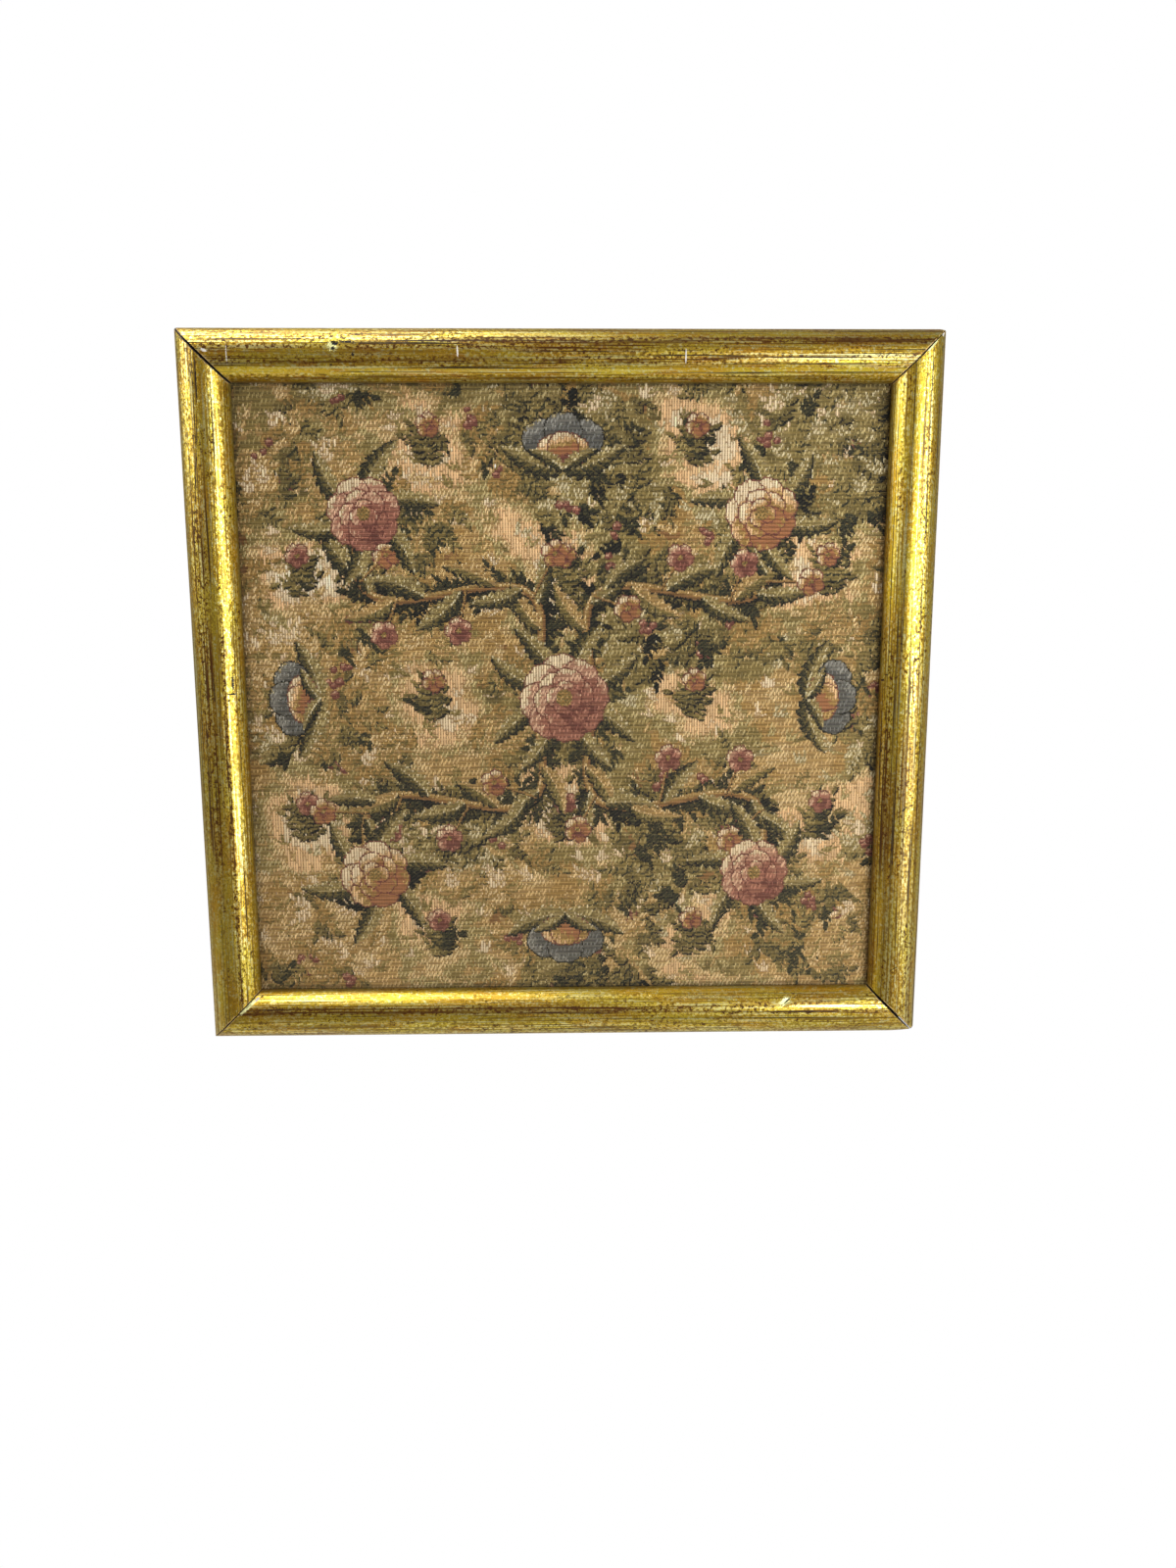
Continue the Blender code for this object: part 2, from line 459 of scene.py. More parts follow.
@dataclass(frozen=True)
class GiltFinish:
    """Yellow gilding over gesso, rubbed and toned olive brown in streaks.

    The three numbers of the dimming say from where to where along the rail toning is painted on as shade to
    dim its reflection, and how far.
    The sparkle is how far the gold brightens where its toning has been rubbed off.
    """

    name: str
    seed: float
    marks: tuple[Mark, ...]
    streak_cover: float = 0.5
    edge_wear: float = 0.5
    warmth: float = 0.3
    painted_dimming: tuple[float, float, float] = (0.0, 1.0, 0.0)
    painted_reflections: tuple[PaintedReflectionBand, ...] = ()
    sparkle: float = 0.74
    sight_edge: Pair = (0.0320, 0.0356)
    outer_edge: Pair = (0.0030, 0.0)

    gold: Colour = dye(238, 210, 66)
    deep_gold: Colour = dye(228, 182, 50)
    bright_gold: Colour = dye(252, 252, 182)
    orange: Colour = dye(206, 140, 52)
    toning: Colour = dye(84, 50, 14)
    hairline: Colour = dye(42, 27, 17)
    gesso: Colour = dye(232, 228, 218)
    worn: Colour = dye(206, 172, 112)
    filling: Colour = dye(34, 28, 26)
    stain: Colour = dye(26, 19, 17)

    def make(self, shelf: EffectShelf) -> Material:
        """Builds the material.

        Args:
            shelf: the shared effects.

        Returns:
            The material.
        """
        material, desk, shader = new_material(self.name)
        plain = desk.mapped(RAIL_MAP)
        place = desk.stretch(plain, (1.0, 1.0, 1.0), (self.seed, 0.0, self.seed))
        seen = self._patterns(desk, shelf, place)
        glaze = self._glaze(desk, plain, seen)
        line = desk.times(seen["hair"]["Mask"], 0.92)
        colour = desk.mix(glaze, self._leaf(desk, place, seen), self.toning)
        colour = desk.mix(line, colour, self.hairline)
        colour, off = self._losses(desk, shelf, plain, place, colour)

        matt = desk.plus(desk.times(glaze, 0.35), desk.times(line, 0.6))
        metal = desk.times(desk.less(0.97, matt, clamp=True), desk.less(1.0, off))
        rough = desk.plus(desk.times(seen["grain"], 0.24), 0.18)
        rough = desk.between(off, desk.plus(rough, desk.times(glaze, 0.24)), 0.8)
        height = desk.plus(desk.times(seen["fine"]["Height"], 0.25), desk.times(seen["grain"], 0.55))
        height = desk.plus(height, desk.times(seen["broad"]["Height"], 0.2))
        height = desk.less(height, desk.times(desk.most([off, seen["speck"]]), 0.35))
        desk.feed(shader.inputs["Base Color"], shelf.dusted(desk, colour, 0.08))
        desk.feed(shader.inputs["Metallic"], metal)
        desk.feed(shader.inputs["Roughness"], rough)
        desk.feed(shader.inputs["Normal"], desk.bump(height, 0.34 * MM))
        shader.inputs["Specular IOR Level"].default_value = 0.2
        shader.inputs["Coat Weight"].default_value = 0.24
        shader.inputs["Coat Roughness"].default_value = 0.22
        return material

    def _patterns(self, desk: NodeDesk, shelf: EffectShelf, place: Any) -> dict[str, Any]:
        """The noises that the finish is made from.

        Args:
            desk: the material's desk.
            shelf: the shared effects.
            place: where the surface is, moved by the rail's seed.

        Returns:
            Three widths of streaks, each with its mask and height, and the rest as plain noises.
        """
        sand = desk.drawn(place, (460.0, 620.0, 4.0), 2.0, 0.75)
        pitted = desk.step(desk.drawn(place, (38.0, 110.0, 5.0)), 0.38, 0.62)
        return {
            "broad": shelf.streaked(desk, place, (10.0, 300.0), (0.60 - 0.2 * self.streak_cover, 0.66)),
            "fine": shelf.streaked(desk, place, (13.0, 1050.0), (0.50, 0.60)),
            "hair": shelf.streaked(desk, place, (7.0, 820.0), (0.60, 0.635)),
            "grain": desk.drawn(place, (760.0, 1000.0, 1.0), 3.0, 0.7),
            "sand": sand,
            "speck": desk.times(desk.step(sand, 0.57, 0.62), desk.between(pitted, 0.35, 1.0)),
            "cloudy": desk.drawn(place, (30.0, 90.0, 1.0)),
        }

    def _leaf(self, desk: NodeDesk, place: Any, seen: dict[str, Any]) -> Socket:
        """The gold leaf's own colour: cloudy, blushed orange in places, bright where it is rubbed.

        Args:
            desk: the material's desk.
            place: where the surface is.
            seen: the patterns.

        Returns:
            The colour.
        """
        gold = desk.mix(desk.step(seen["cloudy"], 0.35, 0.7), self.gold, self.deep_gold)
        blush = desk.step(desk.drawn(place, (60.0, 260.0, 3.0)), 0.52, 0.68)
        gold = desk.mix(desk.times(blush, self.warmth), gold, self.orange)
        rubbed = [desk.step(seen["fine"]["Height"], 0.44, 0.36), desk.step(seen["sand"], 0.46, 0.34)]
        return desk.mix(desk.times(desk.most(rubbed), self.sparkle), gold, self.bright_gold)

    def _glaze(self, desk: NodeDesk, plain: Any, seen: dict[str, Any]) -> Socket:
        """How much toning lies on the leaf, with painted shade and painted highlight laid on along the
        rail.

        Args:
            desk: the material's desk.
            plain: the place along and across the rail.
            seen: the patterns.

        Returns:
            The amount, 0 to 1.
        """
        along, across, _ = desk.split(plain)
        edges = desk.most([desk.step(across, *self.sight_edge), desk.step(across, *self.outer_edge)])
        held = [
            desk.times(seen["broad"]["Mask"], 0.45),
            desk.times(desk.step(seen["sand"], 0.46, 0.60), 0.68),
            desk.times(seen["fine"]["Mask"], 0.8),
            seen["speck"],
            desk.times(edges, 0.5),
        ]
        # Painted shade: extra toning over part of the rail dims its reflection there.
        start, end, most = self.painted_dimming
        glaze = desk.between(desk.most(held), desk.times(desk.step(along, start, end), most), 1.0)
        uneven = desk.between(seen["cloudy"], 0.5, 1.3)
        # Painted shade and painted highlight: bands of more or less toning where the rail's reflections
        # fall darker or brighter.
        for painted_band in self.painted_reflections:
            share = desk.times(painted_band.mask(desk, along, across), uneven)
            glaze = desk.plus(glaze, desk.times(share, painted_band.more), clamp=True)
        return glaze

    def _losses(
        self, desk: NodeDesk, shelf: EffectShelf, plain: Any, place: Any, colour: Any
    ) -> tuple[Socket, Socket]:
        """Lays on what shows where the gilding is gone: the worn rim, the joints and the marks, one of
        which is a painted highlight.

        Args:
            desk: the material's desk.
            shelf: the shared effects.
            plain: the place along and across the rail.
            place: the same, moved by the rail's seed.
            colour: the gilding's colour.

        Returns:
            The new colour, and the mask of what isn't gold.
        """
        across = desk.split(plain)[1]
        rim = desk.times(desk.step(across, 0.0012, -0.0002), desk.step(across, -0.0035, -0.001))
        rub = desk.step(desk.drawn(place, (70.0, 900.0, 1.0)), 0.62 - 0.3 * self.edge_wear, 0.6)
        chips = desk.drawn(place, (420.0, 420.0, 1.0))
        gap = desk.plus(desk.stored("mitre", "Fac"), desk.times(desk.less(0.5, chips), 0.9 * MM))
        lip = desk.times(desk.step(gap, 0.55 * MM, 0.3 * MM), desk.step(chips, 0.47, 0.56))
        worn = desk.most([desk.times(rim, rub), lip])
        stained = desk.step(gap, 0.12 * MM, -0.06 * MM)
        bare = {kind: self._marked(desk, shelf, plain, kind) for kind in MarkKind}
        for mask, tint in (
            (worn, self.worn),
            (stained, self.stain),
            (bare[MarkKind.RUBBED_AND_PAINTED_HIGHLIGHT], self.bright_gold),
            (bare[MarkKind.GESSO], self.gesso),
            (bare[MarkKind.DARK], self.filling),
        ):
            colour = desk.mix(mask, colour, tint)
        return colour, desk.most([bare[MarkKind.GESSO], bare[MarkKind.DARK], worn, stained])

    def _marked(self, desk: NodeDesk, shelf: EffectShelf, place: Any, kind: MarkKind) -> Any:
        """The mask of all marks of one kind.

        Args:
            desk: the material's desk.
            shelf: the shared effects.
            place: the place along and across the rail.
            kind: the kind.

        Returns:
            The mask, or 0 where the rail has none.
        """
        masks = []
        for mark in self.marks:
            if mark.kind is kind:
                values = {"Place": place, "Middle": (mark.along, mark.across, 0.0), "Turn": mark.turn}
                values |= {"Half Length": mark.half_length, "Half Width": mark.half_width}
                masks.append(shelf.flake.place(desk, {**values, "Ragged": mark.ragged})["Mask"])
        return desk.most(masks)


def new_material(name: str) -> tuple[Material, NodeDesk, bpy.types.Node]:
    """Starts a material.

    Args:
        name: its name.

    Returns:
        The material, its desk and its shader.
    """
    material = bpy.data.materials.new(name)
    material.use_nodes = True
    return material, NodeDesk(material.node_tree), material.node_tree.nodes["Principled BSDF"]


@dataclass(frozen=True)
class BareWoodFinish:
    """Sawn softwood, dusty, as on a moulding's back, or stained dark as in an open mitre.

    The tip is the colour where it has worn bare at the rail's outer edge.
    """

    name: str
    pale: Colour
    dark: Colour
    tip: Colour

    def make(self, shelf: EffectShelf) -> Material:
        """Builds the material.

        Args:
            shelf: the shared effects.

        Returns:
            The material.
        """
        material, desk, shader = new_material(self.name)
        place = desk.mapped(RAIL_MAP)
        rings = shelf.streaked(desk, place, (9.0, 420.0), (0.4, 0.66))
        pores = shelf.streaked(desk, place, (120.0, 3200.0), (0.56, 0.7))
        colour = desk.mix(rings["Mask"], self.pale, self.dark)
        colour = desk.mix(desk.times(pores["Mask"], 0.45), colour, self.dark)
        colour = desk.mix(desk.step(desk.split(place)[1], 0.0015, -0.0005), colour, self.tip)
        height = desk.plus(rings["Height"], desk.times(pores["Height"], 0.5))
        desk.feed(shader.inputs["Base Color"], shelf.dusted(desk, colour, 0.3))
        desk.feed(shader.inputs["Roughness"], desk.between(rings["Height"], 0.68, 0.9))
        desk.feed(shader.inputs["Normal"], desk.bump(height, 0.15 * MM))
        return material


@dataclass(frozen=True)
class Moulding:
    """The half-round moulding's section: u runs from the outer edge to the sight edge, v from the back."""

    width: float = 0.028
    depth: float = 0.0205
    shoulder: float = 0.011
    lip_back: float = 0.0075
    rabbet: float = 0.006
    ease: float = 0.0006
    roll_steps: int = 54

    @property
    def radius(self) -> float:
        """The roll's radius."""
        rise = self.depth - self.shoulder
        return ((self.width / 2) ** 2 + rise ** 2) / (2 * rise)

    @property
    def reach(self) -> float:
        """The angle from the roll's crown to its edge."""
        return math.asin(self.width / 2 / self.radius)

    def outline(self) -> tuple[np.ndarray, np.ndarray]:
        """The closed outline, walked from the back's outer edge over the roll to the rabbet.

        Returns:
            An array of u, v, the distance walked (0 at the outer shoulder) and the outward normal,
            and for each stretch to the next point whether it is gilded.
        """
        back, rabbet_u = (self.ease, 0.0), self.width - self.rabbet
        outer = self._straight([(back, 1, False), ((0.0, self.ease), 5, True)], (0.0, self.shoulder))
        inner_corners = [
            ((self.width, self.shoulder), 2, True),
            ((self.width, self.lip_back), 2, False),
            ((rabbet_u, self.lip_back), 2, False),
            ((rabbet_u, 0.0), 5, False),
        ]
        inner = self._straight(inner_corners, back)
        angles = np.linspace(-self.reach, self.reach, self.roll_steps + 1)[:-1]
        roll_u = self.width / 2 + self.radius * np.sin(angles)
        roll_v = self.depth - self.radius * (1 - np.cos(angles))
        path = np.array(outer[0] + list(zip(roll_u, roll_v)) + inner[0])
        lengths = np.linalg.norm(np.diff(path, axis=0, append=path[:1]), axis=1)
        walked = np.concatenate([[0.0], np.cumsum(lengths)[:-1]])
        walked -= walked[len(outer[0])]
        chord = np.roll(path, -1, axis=0) - np.roll(path, 1, axis=0)
        normal = np.stack([-chord[:, 1], chord[:, 0]], axis=1)
        normal /= np.linalg.norm(normal, axis=1)[:, None]
        gilded = outer[1] + [True] * self.roll_steps + inner[1]
        return np.column_stack([path, walked, normal]), np.array(gilded)

    @staticmethod
    def _straight(corners: list[tuple[Pair, int, bool]], end: Pair) -> tuple[list[Pair], list[bool]]:
        """Walks straight from corner to corner.

        Args:
            corners: each corner, the steps from it to the next, and whether it is gilded till there.
            end: the corner where the walk ends, which isn't counted in.

        Returns:
            The points, and whether the stretch after each is gilded.
        """
        points, gilded = [], []
        stops = [corner[0] for corner in corners[1:]] + [end]
        for (start, steps, gilt), stop in zip(corners, stops):
            way = np.array(stop) - start
            points += [tuple(np.array(start) + way * k / steps) for k in range(steps)]
            gilded += [gilt] * steps
        return points, gilded


@dataclass(frozen=True)
class Corner:
    """How a corner has opened and worn: along the edge that runs along X, and along the one along Z.

    The stain is how far dirt from the joint has crept over the gilding.
    """

    opening: float
    wear_x: float
    wear_z: float
    stain: float


TOP_LEFT = Corner(0.0006, 0.0016, 0.0012, 0.0003)
TOP_RIGHT = Corner(0.0004, 0.0030, 0.0013, 0.0001)
BOTTOM_LEFT = Corner(0.0003, 0.0008, 0.0006, 0.0001)
BOTTOM_RIGHT = Corner(0.0009, 0.0150, 0.0032, 0.0002)


@dataclass(frozen=True)
class GiltRail:
    """One rail of the frame, built where it hangs.

    The gesso has its relief from front's first to its second place round the section. The hub is
    where the faces of an end meet, as shares of the moulding's width and of its shoulder.
    """

    node: str
    turn: int
    starts_at: Corner
    ends_at: Corner
    finish: GiltFinish
    moulding: Moulding = Moulding()
    stations: int = 230
    comb_height: float = 0.012 * MM
    wave_height: float = 0.035 * MM
    front: Pair = (-0.010, 0.0385)
    hub: Pair = (0.43, 0.9)

    @property
    def along_x(self) -> bool:
        """Whether the rail is the top or the bottom one."""
        return self.turn % 180 == 0

    @property
    def length(self) -> float:
        """The rail's length over its outer edge."""
        return PICTURE_WIDTH if self.along_x else PICTURE_HEIGHT

    def build(self, shelf: EffectShelf, wood: Material, joint: Material) -> Piece:
        """Makes the rail, dresses it and lets it stand for its CAD node.

        Args:
            shelf: the shared effects.
            wood: the back's material.
            joint: the mitres' material.

        Returns:
            The rail.
        """
        ring, gilded = self.moulding.outline()
        u, v, walked, normal_u, normal_v = ring.T
        start, end = self._ends(u, v)
        along = start + self._shares()[:, None] * (end - start)
        lift = self._relief(along, walked)
        local = np.stack([along, -v - lift * normal_v, -u - lift * normal_u], axis=2).reshape(-1, 3)
        hub_u, hub_v = self.hub[0] * self.moulding.width, self.hub[1] * self.moulding.shoulder
        hubs = [(float(x), -hub_v, -hub_u) for x in self._ends(hub_u, hub_v)]
        outer = (PICTURE_HEIGHT if self.along_x else PICTURE_WIDTH) / 2
        turn = Matrix.Rotation(math.radians(self.turn), 4, "Y")
        place = np.array(Matrix.Translation(CENTRE) @ turn @ Matrix.Translation((0, 0, outer)))
        world = np.vstack([local, hubs]) @ place[:3, :3].T + place[:3, 3]
        faces, slots = self._faces(*along.shape, gilded)
        rail = new_piece("gilt_" + self.node, world, faces, [self.finish.make(shelf), wood, joint], slots)
        self._map(rail, along, walked)
        from_start = (along - start) / math.sqrt(2) - self.starts_at.stain
        from_end = (end - along) / math.sqrt(2) - self.ends_at.stain
        mitre = rail.data.attributes.new("mitre", "FLOAT", "POINT")
        mitre.data.foreach_set("value", np.append(np.minimum(from_start, from_end), [0.0, 0.0]))
        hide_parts(self.node)
        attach(rail, "root")
        return rail

    def _ends(self, u: Any, v: Any) -> tuple[Any, Any]:
        """Where the rail starts and where it ends, so far from its outer edge and from its back."""
        start = self._setback(self.starts_at, u, v) - self.length / 2
        return start, self.length / 2 - self._setback(self.ends_at, u, v)

    def _setback(self, corner: Corner, u: Any, v: Any) -> Any:
        """How far from the corner the rail starts: at the mitre, or at the worn tip if that is farther.

        The mitre has opened at the front of the sight edge and still holds at the back and outside.

        Args:
            corner: the corner.
            u, v: distances from the outer edge and from the back.

        Returns:
            The distance for each point.
        """
        wear = (corner.wear_x, corner.wear_z)
        worn_along, worn_across = wear if self.along_x else reversed(wear)
        inward = 0.2 + 0.8 * np.clip((u - 1.0 * MM) / (8 * MM), 0.0, 1.0)
        opening = (corner.opening + 0.2 * MM) * np.clip(v / self.moulding.depth, 0.02, 1.0) * inward
        return np.maximum(u + opening / math.sqrt(2), worn_along * (1 - u / worn_across))

    def _shares(self) -> np.ndarray:
        """Where the rail's rings stand, as shares of its length: closer at the mitres and marks.

        Returns:
            Rising shares from 0 to 1.
        """
        inset = self.moulding.width / 2
        near_end = np.array([0.2, 0.5, 1.0]) * MM / (self.length - 4 * inset)
        shares = [np.linspace(0, 1, self.stations), near_end, 1 - near_end]
        for mark in self.finish.marks:
            if mark.depth > 0:
                middle = (mark.along + self.length / 2 - inset) / (self.length - 2 * inset)
                shares.append(middle + np.arange(-7, 8) * 0.35 * MM / self.length)
        merged = np.unique(np.round(np.concatenate(shares), 5))
        return merged[(merged >= 0) & (merged <= 1)]

    def _relief(self, along: np.ndarray, walked: np.ndarray) -> np.ndarray:
        """Height of the gesso over the plain section: combed lines, slow waves and dents.

        Args:
            along: each point's place along the rail.
            walked: each ring point's place round the section.

        Returns:
            The height of each point.
        """
        seed = int(self.finish.seed * 10) + 3
        shape = along.shape
        comb = cloud(shape, (8, shape[1] * 0.9), seed) + 0.6 * cloud(shape, (26, shape[1] * 0.95), seed + 1)
        waves = cloud(shape, (11, 7), seed + 2)
        lift = (comb - 0.8) * self.comb_height * 2 + (waves - 0.5) * self.wave_height * 2
        for mark in self.finish.marks:
            ahead, aside = math.cos(mark.turn), math.sin(mark.turn)
            across = walked - mark.across
            far = along - mark.along
            long = (far * ahead + across * aside) / (mark.half_length + 0.4 * MM)
            wide = (across * ahead - far * aside) / (mark.half_width + 0.4 * MM)
            lift = lift - mark.depth * np.exp(-1.5 * (long ** 2 + wide ** 2))
        return lift * ((walked > self.front[0]) & (walked < self.front[1]))

    @staticmethod
    def _faces(count: int, rim: int, gilded: np.ndarray) -> tuple[list[tuple[int, ...]], list[int]]:
        """Skins the rings and closes both ends with a fan.

        Args:
            count: how many rings.
            rim: points in a ring.
            gilded: for each stretch of the ring, whether it is gilded.

        Returns:
            The faces, and each face's material slot: 0 gilt, 1 wood, 2 mitre.
        """
        ring = np.arange(count - 1)[:, None] * rim
        point = np.arange(rim)[None, :]
        follow = (point + 1) % rim
        quads = np.stack([ring + point, ring + follow, ring + rim + follow, ring + rim + point], axis=2)
        faces = [tuple(face) for face in quads.reshape(-1, 4).tolist()]
        slots = np.tile(np.where(gilded, 0, 1), count - 1).tolist()
        first_hub, last_hub, last = count * rim, count * rim + 1, (count - 1) * rim
        faces += [(k, first_hub, (k + 1) % rim) for k in range(rim)]
        faces += [(last + (k + 1) % rim, last_hub, last + k) for k in range(rim)]
        return faces, slots + [2] * (2 * rim)

    def _map(self, rail: Piece, along: np.ndarray, walked: np.ndarray) -> None:
        """Lays out the rail in metres for its finishes, and over the whole square for baking.

        The side fills the lower nine tenths of that square and the two ends are discs above it.

        Args:
            rail: the rail.
            along: each point's place along the rail.
            walked: each ring point's place round the section.
        """
        mesh = rail.data
        count, rim = along.shape
        loops = corner_points(mesh)
        order = np.arange(len(loops))
        girth = float(walked.max() - walked.min()) + self.moulding.ease
        is_hub = loops >= count * rim
        safe = np.where(is_hub, 0, loops)
        metres = np.stack([along.reshape(-1)[safe], walked[safe % rim]], axis=1)
        side_loops = (count - 1) * rim * 4
        far_corner = (order % 4 == 1) | (order % 4 == 2)
        wraps = (order < side_loops) & ((safe % rim) == 0) & far_corner
        metres[wraps, 1] += girth
        metres[is_hub] = (0.0, 0.012)
        bake = np.empty_like(metres)
        bake[:, 0] = (metres[:, 0] / self.length + 0.5) * 0.96 + 0.02
        bake[:, 1] = (metres[:, 1] - walked.min()) / girth * 0.9 + 0.01
        turn = 2 * math.pi * (safe % rim) / rim
        reach = np.where(is_hub, 0.0, 0.03)
        disc = np.stack([0.3 + reach * np.cos(turn), 0.955 + reach * np.sin(turn)], axis=1)
        disc[order >= side_loops + 3 * rim, 0] += 0.3
        bake[side_loops:] = disc[side_loops:]
        add_maps(mesh, {RAIL_MAP: metres, BAKE_MAP: bake})


def corner_points(mesh: bpy.types.Mesh) -> np.ndarray:
    """The point that each corner of each face stands on.

    Args:
        mesh: the mesh.

    Returns:
        The points' numbers.
    """
    points = np.empty(len(mesh.loops), dtype=np.int32)
    mesh.loops.foreach_get("vertex_index", points)
    return points


def add_maps(mesh: bpy.types.Mesh, maps: dict[str, np.ndarray]) -> None:
    """Gives a mesh its maps.

    Args:
        mesh: the mesh.
        maps: for each map's name a place for each corner of each face.
    """
    for name, places in maps.items():
        layer = mesh.uv_layers.new(name=name)
        layer.uv.foreach_set("vector", places.astype(np.float32).reshape(-1))


def new_piece(
    name: str,
    points: np.ndarray,
    faces: list[tuple[int, ...]],
    materials: list[Material],
    slots: list[int] | None = None,
    sharp: float = 38.0,
) -> Piece:
    """Makes a smooth mesh object.

    Args:
        name: the piece's name.
        points: its points.
        faces: its faces.
        materials: its materials.
        slots: each face's material, where it isn't the first.
        sharp: the least angle between faces that stays a sharp edge, in degrees.

    Returns:
        The object.
    """
    mesh = bpy.data.meshes.new(name)
    mesh.from_pydata(points.tolist(), [], faces)
    for material in materials:
        mesh.materials.append(material)
    if slots is not None:
        mesh.polygons.foreach_set("material_index", slots)
    mesh.polygons.foreach_set("use_smooth", [True] * len(mesh.polygons))
    mesh.set_sharp_from_angle(angle=math.radians(sharp))
    mesh.update()
    piece = bpy.data.objects.new(name, mesh)
    bpy.context.scene.collection.objects.link(piece)
    return piece


class Surface(Enum):
    """How the weaving shows its yarns."""

    RIBBED = "weft ribs alone"
    LONG = "long upright floats"
    SHORT = "short staggered floats"
    DOTTED = "dots in twill order"


# For each kind: how many rows a float runs over, how many lie between two, and the twill's rise
FLOAT_ORDER = {Surface.LONG: (22, 1, 9), Surface.SHORT: (4, 2, 2), Surface.DOTTED: (3, 1, 1)}


@dataclass(frozen=True)
class Passage:
    """One kind of weaving: two weft colours that take turns, and the yarn that floats over them."""

    ribs: tuple[Colour, Colour]
    surface: Surface = Surface.RIBBED
    float_yarn: Colour = (0.0, 0.0, 0.0)
    cover: float = 0.0


# For each: the two weft dyes, how the floats lie, their dye, and what share of them is woven
PASSAGES = {
    "night": Passage((dye(50, 47, 37), dye(40, 39, 32)), Surface.DOTTED, dye(26, 28, 27), 0.95),
    "dark": Passage((dye(76, 71, 47), dye(62, 59, 40)), Surface.DOTTED, dye(42, 44, 36), 0.85),
    "moss": Passage((dye(108, 94, 53), dye(93, 81, 46)), Surface.SHORT, dye(140, 125, 79), 0.30),
    "olive": Passage((dye(131, 113, 63), dye(113, 98, 56)), Surface.SHORT, dye(171, 152, 96), 0.36),
    "khaki": Passage((dye(144, 126, 75), dye(127, 111, 67)), Surface.SHORT, dye(200, 183, 128), 0.50),
    "sage": Passage((dye(150, 134, 90), dye(133, 119, 81)), Surface.SHORT, dye(222, 210, 170), 0.70),
    "brown": Passage((dye(138, 100, 60), dye(118, 85, 52))),
    "ochre": Passage((dye(157, 124, 68), dye(138, 108, 60)), Surface.SHORT, dye(196, 162, 100), 0.30),
    "sand": Passage((dye(166, 134, 80), dye(148, 119, 72)), Surface.SHORT, dye(216, 185, 126), 0.46),
    "straw": Passage((dye(172, 142, 90), dye(154, 127, 82)), Surface.SHORT, dye(232, 207, 154), 0.66),
    "peach": Passage((dye(184, 147, 100), dye(170, 135, 92)), Surface.LONG, dye(234, 196, 146), 0.95),
    "beige": Passage((dye(182, 156, 118), dye(168, 143, 108)), Surface.LONG, dye(238, 220, 184), 1.0),
    "cream": Passage((dye(198, 174, 138), dye(184, 161, 128)), Surface.LONG, dye(250, 238, 212), 1.0),
    "rust": Passage((dye(158, 105, 68), dye(138, 91, 60))),
    "garnet": Passage((dye(110, 66, 56), dye(96, 57, 49)), Surface.SHORT, dye(140, 87, 74), 0.20),
    "rose": Passage((dye(147, 95, 76), dye(130, 83, 68)), Surface.SHORT, dye(184, 126, 104), 0.30),
    "pink": Passage((dye(176, 129, 103), dye(158, 115, 93)), Surface.SHORT, dye(222, 184, 152), 0.52),
    "slate": Passage((dye(90, 89, 82), dye(77, 77, 73)), Surface.SHORT, dye(116, 117, 113), 0.32),
    "steel": Passage((dye(116, 114, 105), dye(102, 101, 95)), Surface.SHORT, dye(156, 155, 147), 0.48),
}
NAMES = tuple(PASSAGES)
# The brown that light has drawn every yarn towards
FADED = np.array(dye(138, 114, 76))

# Ramps of passages, from dark to light
GREENS = ("night", "dark", "moss", "olive", "khaki", "sage", "beige")
GOLDS = ("dark", "moss", "olive", "ochre", "sand", "straw", "beige")
WOODS = ("night", "dark", "brown", "brown", "ochre", "straw")
ROSES = ("garnet", "garnet", "rose", "rose", "pink", "pink", "beige")
CORALS = ("garnet", "rust", "rust", "ochre", "peach", "beige", "beige")
BLUES = ("night", "slate", "slate", "slate", "steel", "steel", "sage")
# Which half each quarter lies in, left or right and below or above
QUARTERS = ((-1, -1), (-1, 1), (1, -1), (1, 1))


def ahead_of(x: Any, z: Any, heading: Any, far: Any) -> tuple[Any, Any]:
    """The point that lies so far from another along a heading."""
    return x + far * math.cos(heading), z + far * math.sin(heading)


